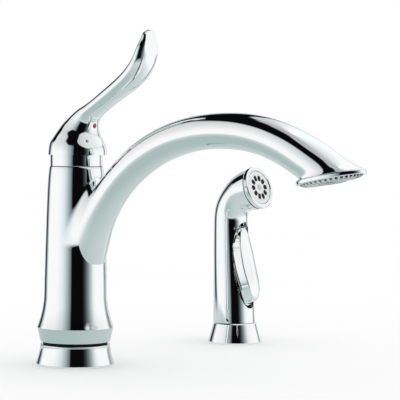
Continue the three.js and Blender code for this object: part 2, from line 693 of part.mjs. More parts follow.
/** The flared ring that the wand stands in, with its gasket's recess underneath. */
function sprayHolder() {
  const { outer } = grooveUnder(holder.footRadius);
  const seatRadius = holderShank.radius + gap;
  const seatTop = holderShank.seat + gap;
  const bore = holderShankBore + gap;
  const rimRadius = wand.footRadius + holder.rimOverhang;
  const recessTop = gasket.thickness + gap;
  return turned([
    [holder.footRadius, 0], [holder.footRadius, holder.footEdge], [rimRadius, holder.height - holder.rimEdge],
    [rimRadius - holder.rimEdge, holder.height], [bore, holder.height], [bore, seatTop],
    [seatRadius, seatTop], [seatRadius, recessTop], [outer, recessTop], [outer, 0],
  ], facets.shown);
}

function holderPieces() {
  const washerBottom = clampTop - holderWasher.thickness;
  const nutTop = washerBottom - gap;
  const hole = holderShank.radius + gap;
  const { outer } = grooveUnder(holder.footRadius);
  return [
    piece("spray_holder", sprayHolder(), chrome),
    piece("holder_gasket", ring(hole, outer - gap, 0, gasket.thickness), rubber),
    piece("holder_shank", ring(holderShankBore, holderShank.radius, -holderShank.length, holderShank.seat),
      blackPlastic),
    piece("holder_washer", ring(hole, hole + holderWasher.rim, washerBottom, clampTop), steel),
    piece("holder_nut", hexNut(hole, holderNut.wall, nutTop - holderNut.height, nutTop), blackPlastic),
  ];
}

// ---------------------------------------------------------------- side spray: wand

// From here on, z is measured from the wand's foot.

function wandSpine() {
  return new THREE.CatmullRomCurve3(wandRings.map(({ reach, rise }) => new THREE.Vector3(0, -reach, rise)));
}

/** Puts something made about Z on the wand's nose, facing the way the nose points. */
function onNose(geometry) {
  const spine = wandSpine();
  const turn = new THREE.Quaternion().setFromUnitVectors(new THREE.Vector3(0, 0, 1), spine.getTangent(1));
  const tip = spine.getPoint(1);
  return geometry.applyQuaternion(turn).translate(tip.x, tip.y, tip.z);
}

/** The trigger's front profile, moved forwards by some distance, as [reach, z] points. */
function triggerProfile(forwards) {
  return new THREE.SplineCurve(triggerFront.map(([reach, z]) => new THREE.Vector2(reach + forwards, z)))
    .getPoints(rings.trigger + 2).map((point) => [point.x, point.y]);
}

/** The trigger's pin, or with some clearance the hole for it. */
function triggerPin(clearance = 0) {
  return crossBar(trigger.pinRadius + clearance, trigger.pinHalfLength + clearance, trigger.pinReach,
    trigger.pinRise);
}

/** The room that the trigger sweeps inside the wand, open to the front. */
function triggerPocket() {
  const sweep = Math.tan(trigger.swing * degree);
  const back = triggerProfile(-trigger.depth - 2 * trigger.sideClearance)
    .map(([reach, z]) => [reach - Math.max(0, trigger.pinRise - z) * sweep, z]);
  const open = 3 * wand.footRadius;
  const [topReach, topLevel] = back[0];
  const [bottomReach, bottomLevel] = back.at(-1);
  const side = sideExtrusion([
    [open, topLevel + open], [topReach, topLevel + open], ...back,
    [bottomReach, bottomLevel - open], [open, bottomLevel - open],
  ], open);
  const outline = leafOutline(trigger.halfWidth + trigger.sideClearance,
    trigger.bottomRise - trigger.footClearance, trigger.topRise + trigger.sideClearance, trigger.squareness);
  return geometryOf(solid(frontExtrusion(outline, -open, open)).intersect(solid(side)));
}

/** The wand: a leaning grip that bends over into the nose, hollow, with the trigger's pocket in its front. */
function wandShell() {
  const blank = loft(smoothRings(wandRings, rings.wand), facets.blade);
  const gripRows = wandRings.filter(({ rise }) => rise <= wand.cavityRise)
    .map((row) => ({ ...row, width: row.width - wand.wall }));
  const upperRows = wandRings.filter(({ rise }) => rise > wand.cavityRise - 2 * wand.waterway)
    .map((row) => ({ ...row, width: wand.waterway }));
  const cavity = loft(smoothRings(gripRows, rings.waterway), facets.hidden);
  const waterway = loft(smoothRings(upperRows, rings.waterway), facets.bore);
  const chamber = onNose(bar(wand.headBore, -wand.headDepth, through, facets.hidden));
  const connectorSeat = bar(connectorFlange + gap, -through, connectorTop + gap, facets.hidden);
  return cut(blank, allBelow(0), connectorSeat, cavity, waterway, chamber, triggerPocket(), triggerPin(gap));
}

/** The head: a round bezel, the nozzle plate with its ring of slots, and the cap in the middle. */
function headPieces() {
  const bezelInner = bezelRadius - head.bezelWidth;
  const back = gap;
  const front = back + head.bezelDepth;
  const faceFront = front - head.faceInset;
  const faceBack = faceFront - head.faceDepth;
  const capSeat = faceFront - nozzle.capDepth;
  const edge = head.faceInset;
  const nozzles = aroundZ(nozzle.count, nozzle.ringRadius,
    () => bar(nozzle.radius, faceBack - through, faceFront + through, facets.hole));
  const face = cut(bar(bezelInner - gap, faceBack, faceFront, facets.hidden), ...nozzles,
    bar(nozzle.capRadius + gap, capSeat, faceFront + through));
  const bezel = turned([
    [bezelInner, back], [bezelRadius - edge, back], [bezelRadius, back + head.bezelRound],
    [bezelRadius - edge, front - edge], [bezelRadius - head.bezelRound, front],
    [bezelInner + edge, front], [bezelInner, front - edge],
  ], facets.shown);
  return [
    piece("spray_bezel", onNose(bezel), chrome),
    piece("spray_face", onNose(face), whitePlastic),
    piece("spray_face_cap", onNose(bar(nozzle.capRadius, capSeat + gap, faceFront + gap)), greyPlastic),
  ];
}

/** The hose end in the wand's foot, and the valve that stands on it. */
function wandInnards() {
  const connectorBody = turned([
    [connector.bore, -connector.drop], [connectorRadius, -connector.drop], [connectorRadius, gap],
    [connectorFlange, gap], [connectorFlange, connectorTop], [connector.bore, connectorTop],
  ]);
  const valveBottom = connectorTop + gap;
  const plungerStop = valve.reach - valve.radius + (valve.radius - valve.bore) / 3;
  const plungerBore = frontBar(plunger.radius + gap, plungerStop, wand.footRadius, plunger.rise);
  const valveBlank = ring(valve.bore, valve.radius, valveBottom, valveBottom + valve.height, facets.bore)
    .translate(0, -valve.reach, 0);
  return [
    piece("hose_connector", connectorBody, brass),
    piece("valve_sleeve", cut(valveBlank, plungerBore), whitePlastic),
  ];
}

/** The trigger: a leaf outline from the front, crossed with a curved side profile and a crowned face. */
function triggerBlade() {
  const wide = 3 * wand.footRadius;
  const side = sideExtrusion([...triggerProfile(through), ...triggerProfile(-trigger.depth).reverse()], wide);
  const crown = loft(smoothRings(triggerFront.map(([reach, z]) => ({
    reach: reach - trigger.crownDepth, rise: z, width: trigger.crownWidth, thickness: trigger.crownDepth,
  })), rings.trigger), facets.blade);
  const outline = leafOutline(trigger.halfWidth, trigger.bottomRise, trigger.topRise, trigger.squareness);
  const blade = solid(frontExtrusion(outline, -wide, wide)).intersect(solid(side)).intersect(solid(crown));
  return geometryOf(blade.subtract(solid(crossBar(trigger.pinRadius + gap, trigger.halfWidth + through,
    trigger.pinReach, trigger.pinRise))));
}

/** How far forwards the plunger reaches, to lie against the trigger's back. */
function plungerReach() {
  const front = new THREE.SplineCurve(triggerFront.map(([reach, z]) => new THREE.Vector2(reach, z)));
  const missing = (point) => Math.abs(point.y - plunger.rise);
  const beside = front.getPoints(200).reduce((best, point) => (missing(point) < missing(best) ? point : best));
  return beside.x - trigger.depth - gap - plunger.radius / 3;
}

function wandPieces() {
  return [
    piece("spray_wand", wandShell(), chrome),
    ...headPieces(),
    ...wandInnards(),
    piece("trigger_pin", triggerPin(), steel),
    piece("trigger", triggerBlade(), chrome),
    piece("valve_plunger", frontBar(plunger.radius, plungerReach() - plunger.length, plungerReach(),
      plunger.rise), brass),
  ];
}

// ---------------------------------------------------------------- the whole set

/** A group of pieces with its own origin, on the axis of the group that holds it. */
function group(x, z, ...members) {
  const assembly = new THREE.Group();
  assembly.position.set(x, 0, z);
  assembly.add(...members);
  return assembly;
}

const faucet = group(0, 0,
  ...deckPieces(),
  ...columnRings(),
  piece("diverter", diverter(), whitePlastic),
  piece("spout", spoutShell(), chrome),
  ...outletPieces(),
  group(0, pivotLevel, ...cartridgePieces(), ...handlePieces()));

const sideSpray = group(deck.holePitch, 0,
  ...holderPieces(),
  group(0, wandBottom, ...wandPieces()));

export default group(0, 0, faucet, sideSpray);
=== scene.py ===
# %% [markdown]
# # A kitchen faucet with a side spray
# The real set is polished metal: a body that swivels with its long spout, a lever handle on top, and a
# hand spray that stands in a holder of its own. Polished metal has no colour of its own to speak of. What
# the eye sees is the smooth shape and the studio in it, so this lesson spends its care on even surfaces and
# on the tent around the set. All forms are drawn in millimetres and scaled to metres when a piece is done.

import json
import math

import bmesh
import bpy
import numpy as np
from mathutils import Matrix, Vector
from mathutils.bvhtree import BVHTree

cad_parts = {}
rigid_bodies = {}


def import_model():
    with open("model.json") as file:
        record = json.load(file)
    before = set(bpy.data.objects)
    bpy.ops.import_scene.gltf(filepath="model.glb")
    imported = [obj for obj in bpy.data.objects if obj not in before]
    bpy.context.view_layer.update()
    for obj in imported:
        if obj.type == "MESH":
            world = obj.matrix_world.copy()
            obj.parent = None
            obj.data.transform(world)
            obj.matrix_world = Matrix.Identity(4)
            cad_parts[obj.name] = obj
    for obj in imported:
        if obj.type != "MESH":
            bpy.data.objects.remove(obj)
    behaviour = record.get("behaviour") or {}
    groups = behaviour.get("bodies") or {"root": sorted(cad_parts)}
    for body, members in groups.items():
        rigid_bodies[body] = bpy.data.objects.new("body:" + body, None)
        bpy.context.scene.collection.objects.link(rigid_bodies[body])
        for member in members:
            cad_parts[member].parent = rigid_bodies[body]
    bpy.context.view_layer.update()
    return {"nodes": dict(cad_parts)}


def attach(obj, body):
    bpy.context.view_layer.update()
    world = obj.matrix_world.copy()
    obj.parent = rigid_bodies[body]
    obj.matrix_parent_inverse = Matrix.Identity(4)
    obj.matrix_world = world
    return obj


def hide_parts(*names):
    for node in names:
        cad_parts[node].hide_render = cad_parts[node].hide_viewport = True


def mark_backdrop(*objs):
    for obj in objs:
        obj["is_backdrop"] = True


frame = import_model()

# %% [markdown]
# ## The camera
# The photograph looks from the front left, a little above the spray, with a long lens. A camera is easiest
# to place by three directions: to the right, up and ahead. The film is 36 mm wide and the photograph 400
# pixels, which turns lengths in pixels into the lens and its shift.

# %% Place the camera
MM = 0.001
PHOTO, FILM = 400, 36
view_azimuth = math.radians(-52.2)
to_right = Vector((math.cos(view_azimuth), math.sin(view_azimuth), 0))
to_camera = Vector((math.sin(view_azimuth), -math.cos(view_azimuth), 0))


def placed(name, data):
    made = bpy.data.objects.new(name, data)
    bpy.context.collection.objects.link(made)
    return made


def place_camera(aside, distance, height, pitch, roll, focal, shift):
    camera = placed("camera", bpy.data.cameras.new("camera"))
    ahead = -to_camera * math.cos(pitch) - Vector((0, 0, math.sin(pitch)))
    up = to_right.cross(ahead)
    right = to_right * math.cos(roll) + up * math.sin(roll)
    up = up * math.cos(roll) - to_right * math.sin(roll)
    place = (to_right * aside + to_camera * distance + Vector((0, 0, height))) * MM
    camera.matrix_world = Matrix.Translation(place) @ Matrix((right, up, -ahead)).transposed().to_4x4()
    camera.data.sensor_width = FILM
    camera.data.lens = FILM * focal / PHOTO
    camera.data.shift_x = -shift[0] / PHOTO
    camera.data.shift_y = shift[1] / PHOTO
    bpy.context.scene.camera = camera
    print("camera:", [round(v, 4) for v in camera.location], "lens", round(camera.data.lens, 1))


place_camera(aside=95.5, distance=1500, height=188, pitch=math.radians(2.38), roll=math.radians(0.5),
             focal=1973.7, shift=(1.7, 0.9))

# %% [markdown]
# ## Shader nodes in one line each
# A finish is a small net of nodes, and so is a shape that follows a rule. One helper makes a node, sets it
# and links what feeds it. The others are for nodes used often.

# %% Helpers for nodes
def node(tree, kind, inputs=None, **settings):
    """Makes a node. An input is a plain value, a socket, or a node of which the first output is meant."""
    made = tree.nodes.new(kind)
    for name, value in settings.items():
        setattr(made, name, value)
    for key, value in (inputs or {}).items():
        if isinstance(value, bpy.types.Node):
            value = value.outputs[0]
        if isinstance(value, bpy.types.NodeSocket):
            tree.links.new(value, made.inputs[key])
        else:
            made.inputs[key].default_value = value
    return made


def calc(tree, operation, *inputs):
    return node(tree, "ShaderNodeMath", dict(enumerate(inputs)), operation=operation).outputs[0]


def graded(tree, value, start, stop, low=0.0, high=1.0, **settings):
    """A value whose way from start to stop becomes the way from low to high, held at both ends."""
    limits = {0: value, 1: start, 2: stop, 3: low, 4: high}
    return node(tree, "ShaderNodeMapRange", limits, **settings).outputs[0]


def ramp(tree, factor, stops):
    """A colour ramp with stops given as position and colour."""
    made = node(tree, "ShaderNodeValToRGB", {0: factor})
    band = made.color_ramp
    while len(band.elements) < len(stops):
        band.elements.new(0.5)
    for element, (position, color) in zip(band.elements, stops):
        element.position = position
        element.color = (*color, 1)
    return made.outputs[0]


# %% [markdown]
# ## Finishes
# Each finish gets soft wander in colour and roughness, as the real one has, from noise on the piece's own
# coordinates. Turned brass and drawn copper show fine lines, plastic and rubber the grain of their moulds.
# Numbers that are the same everywhere are set on the shader itself.

# %% Make the finishes
def finish(name, color, worn, roughness, metallic=0.0, size=30.0, grain=0.0, drawn=(1, 1, 1), **extra):
    """A procedural finish: colour between two tones, roughness between two values, and a fine grain."""
    made = bpy.data.materials.new(name)
    made.use_nodes = True
    tree = made.node_tree
    shader = tree.nodes["Principled BSDF"]
    place = node(tree, "ShaderNodeTexCoord").outputs["Object"]
    lined = node(tree, "ShaderNodeMapping", {"Vector": place, "Scale": drawn})
    wander = node(tree, "ShaderNodeTexNoise", {"Vector": lined, "Scale": size, "Detail": 4.0})
    tone = ramp(tree, wander, [(0.35, color), (0.7, worn)])
    tree.links.new(tone, shader.inputs["Base Color"])
    tree.links.new(graded(tree, wander, 0.3, 0.75, *roughness), shader.inputs["Roughness"])
    shader.inputs["Metallic"].default_value = metallic
    for socket, value in extra.items():
        shader.inputs[socket.replace("_", " ")].default_value = value
    if grain:
        fine = node(tree, "ShaderNodeTexNoise", {"Vector": lined, "Scale": 40 * size, "Detail": 3.0})
        bump = node(tree, "ShaderNodeBump", {"Strength": grain, "Distance": 0.0002, "Height": fine})
        tree.links.new(bump.outputs[0], shader.inputs["Normal"])
    return made


finishes = {
    "chrome": finish("polished_chrome", (0.95, 0.962, 0.962), (0.93, 0.944, 0.946), (0.012, 0.04), 1.0),
    "brass": finish("turned_brass", (0.62, 0.44, 0.19), (0.5, 0.34, 0.13), (0.22, 0.42), 1.0, 25, 0.25,
                    drawn=(1, 1, 12)),
    "copper": finish("drawn_copper", (0.72, 0.36, 0.2), (0.52, 0.24, 0.13), (0.2, 0.45), 1.0, 30, 0.15,
                     drawn=(8, 8, 1)),
    "steel": finish("brushed_steel", (0.5, 0.51, 0.52), (0.38, 0.39, 0.4), (0.2, 0.4), 1.0, 40, 0.25,
                    drawn=(1, 6, 1)),
    "black_plastic": finish("black_plastic", (0.006, 0.006, 0.007), (0.012, 0.012, 0.013), (0.35, 0.5), 0,
                            40, 0.15, Specular_IOR_Level=0.08),
    "white_plastic": finish("white_plastic", (0.82, 0.83, 0.83), (0.76, 0.77, 0.77), (0.25, 0.4), 0, 40, 0.1),
    "grey_plastic": finish("grey_plastic", (0.52, 0.55, 0.55), (0.44, 0.47, 0.47), (0.3, 0.45), 0, 40, 0.15),
    "rubber": finish("black_rubber", (0.006, 0.006, 0.006), (0.014, 0.014, 0.013), (0.6, 0.8), 0, 60, 0.3,
                     Specular_IOR_Level=0.2),
    "red_plastic": finish("red_plastic", (0.5, 0.02, 0.015), (0.42, 0.015, 0.012), (0.15, 0.3), 0, 60, 0.05),
}
print("finishes:", ", ".join(finishes))

# %% [markdown]
# ## The studio
# The set stands on a pale floor under an even white sky. Lamps aren't needed: an even sky gives the soft
# shadow of a studio, and chrome is lit by what it reflects, which comes next.

# %% Make sky and floor
world = bpy.data.worlds.new("sky")
world.use_nodes = True
sky_light = world.node_tree.nodes["Background"].inputs
sky_light["Color"].default_value = (1, 1, 1, 1)
sky_light["Strength"].default_value = 1.0
bpy.context.scene.world = world
bpy.context.scene.view_settings.view_transform = "Standard"


def staged(name, points, faces, material):
    mesh = bpy.data.meshes.new(name)
    mesh.from_pydata(points, [], faces)
    mesh.materials.append(material)
    made = placed(name, mesh)
    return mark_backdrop(made) or made


pale = finish("pale_floor", (1, 1, 1), (0.99, 0.99, 0.99), (0.8, 0.9), 0, 3, Specular_IOR_Level=0.0)
half_floor = 6
floor_corners = [(x * half_floor, y * half_floor, 0) for x, y in ((-1, -1), (1, -1), (1, 1), (-1, 1))]
staged("floor", floor_corners, [(0, 1, 2, 3)], pale)
print("floor:", 2 * half_floor, "m wide")

# %% [markdown]
# ## The tent
# Round the set hangs a tent, whose cloth is white, grey and black by its angle, with a black flag over it and
# a grey roof. They draw the bands of light and dark on the metal. Cards could be hung one by one, but bands
# painted on one tent by angle and elevation meet without gaps, and each can be moved by a single number.

# %% Write down the tent's colours
# The tent's cloth: an angle round the set, 0 towards the camera and positive to the right, and a colour.
black = (0.003, 0.003, 0.004)
cloth = [
    (-180, (0.62, 0.68, 0.7)), (-158, (0.6, 0.66, 0.68)), (-150, (0.1, 0.12, 0.13)),
    (-146, (0.02, 0.025, 0.03)), (-137, (0.03, 0.035, 0.04)), (-128, (0.45, 0.5, 0.52)), (-118, (1, 1, 1)),
    (-68, (1, 1, 1)), (-55, (0.88, 0.93, 0.95)), (-42, (0.74, 0.8, 0.82)), (-28, (0.42, 0.51, 0.53)),
    (-15, (0.16, 0.2, 0.22)), (-11, black), (29, black), (38, (0.04, 0.05, 0.05)), (48, (0.17, 0.21, 0.22)),
    (58, (0.42, 0.49, 0.49)), (72, (0.88, 0.92, 0.92)), (84, (1, 1, 1)), (124, (1, 1, 1)),
    (133, (0.4, 0.45, 0.46)), (139, (0.2, 0.24, 0.25)), (146, (0.9, 0.93, 0.94)), (153, (0.95, 0.97, 0.98)),
    (162, (0.6, 0.65, 0.67)), (180, (0.62, 0.68, 0.7)),
]
# The black flag over it: an angle, and the elevations between which it hangs.
flag = [
    (-180, 38, 57), (-165, 37, 68), (-156, 36, 74), (-148, 26, 73), (-124, 27, 78), (-118, 54, 80),
    (-88, 54, 80), (-67, 51.5, 79.5), (-52, 48.5, 78), (-43, 45, 76.5), (-36, 43, 70), (-28, 44, 66),
    (-14, 44, 63), (0, 40, 59), (12, 36, 50), (30, 34, 37), (42, 30, 30), (150, 24, 24), (160, 24, 24),
    (170, 34, 49), (180, 38, 57),
]
# The roof above the flag: an angle and a brightness.
roof = [(-180, 0.62), (-150, 0.45), (-90, 0.45), (-41, 0.48), (-10, 0.47), (11, 0.58), (35, 0.69), (67, 0.8),
        (92, 0.84), (118, 0.94), (135, 1.0), (152, 1.0), (168, 0.66), (180, 0.62)]
print("stops of cloth, flag and roof:", len(cloth), len(flag), len(roof))


# %% Helpers for glowing materials
def shining(name, tree_of):
    """A material that only glows, in the colour that a net of nodes gives."""
    made = bpy.data.materials.new(name)
    made.use_nodes = True
    tree = made.node_tree
    tree.nodes.remove(tree.nodes["Principled BSDF"])
    place = node(tree, "ShaderNodeTexCoord").outputs["Object"]
    glow = node(tree, "ShaderNodeEmission", {"Color": tree_of(tree, place), "Strength": 1.0}).outputs[0]
    tree.links.new(glow, tree.nodes["Material Output"].inputs["Surface"])
    return made


def along(tree, place, direction):
    dot = node(tree, "ShaderNodeVectorMath", {0: place, 1: direction}, operation="DOT_PRODUCT")
    return dot.outputs["Value"]


def blended(tree, factor, color, other):
    return node(tree, "ShaderNodeMix", {"Factor": factor, 6: color, 7: other}, data_type="RGBA").outputs[2]


def turn_about(tree, place):
    """The angle round the set as a share of a full turn, from behind, with the camera in the middle."""
    angle = calc(tree, "ARCTAN2", along(tree, place, to_right), along(tree, place, to_camera))
    return graded(tree, angle, -math.pi, math.pi)


def painted(tree, turn, stops):
    """A ramp whose stops are an angle in degrees and a colour."""
    return ramp(tree, turn, [((degrees + 180) / 360, tone) for degrees, tone in stops])


# %% Hang the tent
def tent_color(radius):
    def colored(tree, place):
        turn = turn_about(tree, place)
        rise = calc(tree, "DIVIDE", along(tree, place, (0, 0, 1)), radius)
        level = calc(tree, "MULTIPLY", calc(tree, "ARCSINE", rise), 180 / math.pi)
        edges = [[(row[0], (row[k] / 90,) * 3) for row in flag] for k in (1, 2)]
        low, high = (calc(tree, "MULTIPLY", painted(tree, turn, edge), 90.0) for edge in edges)
        over_low = calc(tree, "SUBTRACT", level, low)
        over_high = calc(tree, "SUBTRACT", level, high)
        under_high = calc(tree, "SUBTRACT", high, level)
        above = graded(tree, over_low, -2.5, 2.5, interpolation_type="SMOOTHSTEP")
        below = graded(tree, under_high, -2.0, 2.0, interpolation_type="SMOOTHSTEP")
        dim = graded(tree, level, 12.0, 50.0, 1.0, 0.68)
        wall = node(tree, "ShaderNodeVectorMath", {0: painted(tree, turn, cloth), 3: dim}, operation="SCALE")
        light = painted(tree, turn, [(degrees, (tone, 1.03 * tone, 1.03 * tone)) for degrees, tone in roof])
        cover = blended(tree, graded(tree, over_high, -3.0, 2.0), wall, light)
        return blended(tree, calc(tree, "MULTIPLY", above, below), cover, (*black, 1))
    return colored


def hoop(radius, level, around=96):
    angles = (2 * math.pi * k / around for k in range(around))
    return [(radius * math.cos(a), radius * math.sin(a), level) for a in angles]


def tent(radius, around=96, up=32):
    """A round white tent, black where the flag hangs."""
    points, faces = [], []
    for i in range(up):
        lift = math.radians(90 * i / up)
        points += hoop(radius * math.cos(lift), radius * math.sin(lift), around)
    points.append((0, 0, radius))
    for i in range(up):
        for k in range(around):
            a, b = i * around + k, i * around + (k + 1) % around
            faces.append((a, b, b + around, a + around) if i + 1 < up else (a, b, len(points) - 1))
    return staged("tent", points, faces, shining("tent_cloth", tent_color(radius)))


tent_radius = 1.3
hung = tent(tent_radius)
print("tent:", len(hung.data.polygons), "faces")

# %% [markdown]
# A grey table lies below, since the metal would mirror a white floor too brightly. Only the metal sees tent
# and table: they cast no shadow, and the camera looks through them.

# %% Lay the table
def floor_card(radius):
    """A grey table round the foot, which turns into the tent's own colours."""
    def colored(tree, place):
        middle = to_camera * 0.1 - to_right * 0.1
        far = node(tree, "ShaderNodeVectorMath", {0: place, 1: middle}, operation="DISTANCE").outputs["Value"]
        near = ramp(tree, far, [(0.1, (0.42, 0.53, 0.52)), (0.2, (0.52, 0.61, 0.6)),
                                (0.42, (0.66, 0.72, 0.72))])
        cloth_tone = painted(tree, turn_about(tree, place), cloth)
        return blended(tree, graded(tree, far, 0.36, 0.62), near, cloth_tone)

    rim = hoop(radius, MM)
    return staged("floor_card", rim, [tuple(range(len(rim)))], shining("floor_card", colored))


for surround in (hung, floor_card(tent_radius + 0.03)):
    surround.visible_camera = surround.visible_diffuse = surround.visible_shadow = False
    print(surround.name, "is seen by metal only")

# %% [markdown]
# ## Even surfaces
# A turned form needs only its outline, as on a lathe. Sharp outer corners get a small radius, since on
# polished metal that radius is the thin bright line along every edge.

# %% Helpers for turned forms
def new_object(name, points, faces, crease=28):
    mesh = bpy.data.meshes.new(name)
    mesh.from_pydata([tuple(map(float, point)) for point in points], [], faces)
    net = bmesh.new()
    net.from_mesh(mesh)
    bmesh.ops.recalc_face_normals(net, faces=net.faces)
    net.to_mesh(mesh)
    net.free()
    mesh.shade_smooth()
    mesh.set_sharp_from_angle(angle=math.radians(crease))
    return placed(name, mesh)


def eased(outline, steps=5, lead=1.3):
    """Rounds the corners of a closed outline that give a radius as their third number. The points that lead
    into each bend keep the shading beside it straight."""
    corners = [np.array(row[:2], float) for row in outline]
    made = []
    for i, row in enumerate(outline):
        radius = row[2] if len(row) > 2 else 0
        here = corners[i]
        if not radius:
            made.append(tuple(here))
            continue
        back, ahead = corners[i - 1] - here, corners[(i + 1) % len(outline)] - here
        back, ahead = back / np.linalg.norm(back), ahead / np.linalg.norm(ahead)
        half = math.acos(np.clip(back @ ahead, -1, 1)) / 2
        cut = radius / math.tan(half)
        middle = here + (back + ahead) / np.linalg.norm(back + ahead) * radius / math.sin(half)
        start, end = here + back * cut - middle, here + ahead * cut - middle
        made.append(tuple(here + back * cut * lead))
        for step in range(steps + 1):
            arm = start + (end - start) * step / steps
            made.append(tuple(middle + arm / np.linalg.norm(arm) * radius))
        made.append(tuple(here + ahead * cut * lead))
    return made


def turned(name, outline, segments=144, stretch=0.0):
    """Turns a closed outline of radius and level about Z. A stretch makes it oval along Y."""
    angle = 2 * math.pi * np.arange(segments) / segments
    points, rings = [], []
    for radius, level in eased(outline):
        if radius < 1e-6:
            rings.append([len(points)] * segments)
            points.append((0, 0, level))
        else:
            rings.append(list(range(len(points), len(points) + segments)))
            points += [(radius * math.cos(a), (radius + stretch) * math.sin(a), level) for a in angle]
    faces = []
    for low, high in zip(rings, rings[1:] + rings[:1]):
        for k in range(segments):
            m = (k + 1) % segments
            corners = list(dict.fromkeys([low[k], low[m], high[m], high[k]]))
            if len(corners) > 2:
                faces.append(corners)
    return new_object(name, points, faces)


def rod(name, radius, low, high, segments=144, edge=0, stretch=0.0):
    """A full round bar about Z between two levels, also as a drill."""
    return turned(name, [(0, low), (radius, low, edge), (radius, high, edge), (0, high)], segments, stretch)


# %% [markdown]
# A bent form is skinned over oval rings. A curve with a bevel could do it, but not with a width and thickness
# of its own at each ring. The rings follow a natural cubic spline, because a reflection shows each jump in
# curvature that a looser curve leaves.

# %% Helpers for skinned forms
def fair(rows, count, skip=0):
    """Even steps on a natural cubic spline through rows of numbers. Skip leaves out spans at its end."""
    rows = np.asarray(rows, float)
    knots = np.concatenate([[0], np.cumsum(np.linalg.norm(np.diff(rows[:, :2], axis=0), axis=1))])
    step, size = np.diff(knots), len(knots)
    system, pull = np.eye(size), np.zeros_like(rows)
    for i in range(1, size - 1):
        system[i, i - 1:i + 2] = step[i - 1], 2 * (step[i - 1] + step[i]), step[i]
        pull[i] = 6 * ((rows[i + 1] - rows[i]) / step[i] - (rows[i] - rows[i - 1]) / step[i - 1])
    bend = np.linalg.solve(system, pull)
    at = np.linspace(0, knots[size - 1 - skip], count + 1)
    k = np.clip(np.searchsorted(knots, at, side="right") - 1, 0, size - 2)
    a = ((knots[k + 1] - at) / step[k])[:, None]
    b = 1 - a
    curve = ((a**3 - a) * bend[k] + (b**3 - b) * bend[k + 1]) * step[k, None]**2 / 6
    return a * rows[k] + b * rows[k + 1] + curve


def sleeve(size, rings):
    """The faces of a closed tube whose points come ring by ring, with as many points in each ring."""
    faces = [[row * size + k, row * size + (k + 1) % size,
              (row + 1) * size + (k + 1) % size, (row + 1) * size + k]
             for row in range(rings - 1) for k in range(size)]
    return faces + [list(range(size)), list(range((rings - 1) * size, rings * size))]


def skin(name, tops, lows, widths, segments=96):
    """Skins oval rings. Each has a top and a bottom point, as reach and level, and a half width."""
    middle, arm = (tops + lows) / 2, (tops - lows) / 2
    angle = 2 * math.pi * np.arange(segments) / segments
    side = middle[:, None] + arm[:, None] * np.sin(angle)[None, :, None]
    points = np.stack([widths[:, None] * np.cos(angle), -side[..., 0], side[..., 1]], 2).reshape(-1, 3)
    return new_object(name, points, sleeve(segments, len(tops)))


def edges_of(rows):
    """The top and bottom points of rings that stand square to a line of reach and level."""
    ahead = np.gradient(rows[:, :2], axis=0)
    ahead /= np.linalg.norm(ahead, axis=1)[:, None]
    arm = np.stack([-ahead[:, 1], ahead[:, 0]], 1) * rows[:, -1:]
    return rows[:, :2] + arm, rows[:, :2] - arm


def loft(name, rows, segments=96):
    """Skins rings square to a line. A row is reach, level, half width and half thickness, or one radius."""
    rows = np.asarray(rows, float)
    return skin(name, *edges_of(rows), rows[:, 2], segments)


def prism(name, outline, low, high, turn=Matrix.Identity(4)):
    """Raises a flat outline from one level to another, and turns it."""
    points = [turn @ Vector((x, y, z)) for z in (low, high) for x, y in outline]
    return new_object(name, points, sleeve(len(outline), 2))


def moved(piece, matrix):
    piece.data.transform(matrix)
    return piece


def shift(x=0.0, y=0.0, z=0.0):
    return Matrix.Translation((x, y, z))


# %% [markdown]
# ## Cutting without dents
# A boolean leaves thin slivers beside each cut, and smooth shading then shows dents on chrome. So each face
# asks which surface it was cut from, and takes the shading normals that this surface has there.

# %% Helpers for shading
def triples(items, field, kind=float):
    """One row of three numbers for each item of a mesh."""
    values = np.zeros(3 * len(items), kind)
    items.foreach_get(field, values)
    return values.reshape(-1, 3)


def surface_of(piece):
    """A piece's triangles for nearest-point questions, with the shading normals at their corners."""
    mesh = piece.data
    mesh.calc_loop_triangles()
    corners, loops = (triples(mesh.loop_triangles, field, int) for field in ("vertices", "loops"))
    points, normals = triples(mesh.vertices, "co"), triples(mesh.corner_normals, "vector")
    tree = BVHTree.FromPolygons([Vector(point) for point in points], corners.tolist())
    return tree, points[corners], normals[loops]


def shade_like(piece, surfaces):
    """Gives each face corner the normal of the nearest of the surfaces that the piece was cut from, asked a
    little inside the face."""
    mesh, inside = piece.data, 0.02
    normals = np.zeros((len(mesh.loops), 3))
    picked = [[] for _ in surfaces]
    for face in mesh.polygons:
        near = [tree.find_nearest(face.center)[3] for tree, _, _ in surfaces]
        picked[int(np.argmin(near))].append(face)
    for (tree, triangles, shading), faces in zip(surfaces, picked):
        loops, hits, places = [], [], []
        for face in faces:
            for loop in face.loop_indices:
                corner = mesh.vertices[mesh.loops[loop].vertex_index].co
                place, _, hit, _ = tree.find_nearest(corner.lerp(face.center, inside))
                loops.append(loop)
                hits.append(hit)
                places.append(place)
        if not loops:
            continue
        a, b, c = (triangles[hits][:, i] for i in range(3))
        ab, ac, ap = b - a, c - a, np.array(places) - a
        dot = lambda u, v: np.einsum("ij,ij->i", u, v)
        d00, d01, d11, d20, d21 = dot(ab, ab), dot(ab, ac), dot(ac, ac), dot(ap, ab), dot(ap, ac)
        scale = np.maximum(d00 * d11 - d01 * d01, 1e-20)
        v, w = (d11 * d20 - d01 * d21) / scale, (d00 * d21 - d01 * d20) / scale
        weights = np.clip(np.stack([1 - v - w, v, w], 1), 0, 1)
        normals[loops] = np.einsum("ij,ijk->ik", weights, shading[hits])
    normals /= np.maximum(np.linalg.norm(normals, axis=1), 1e-9)[:, None]
    for face in mesh.polygons:
        span = slice(face.loop_start, face.loop_start + face.loop_total)
        if normals[span].sum(0) @ np.array(face.normal) < 0:
            normals[span] *= -1
    mesh.shade_smooth()
    mesh.normals_split_custom_set(normals.tolist())


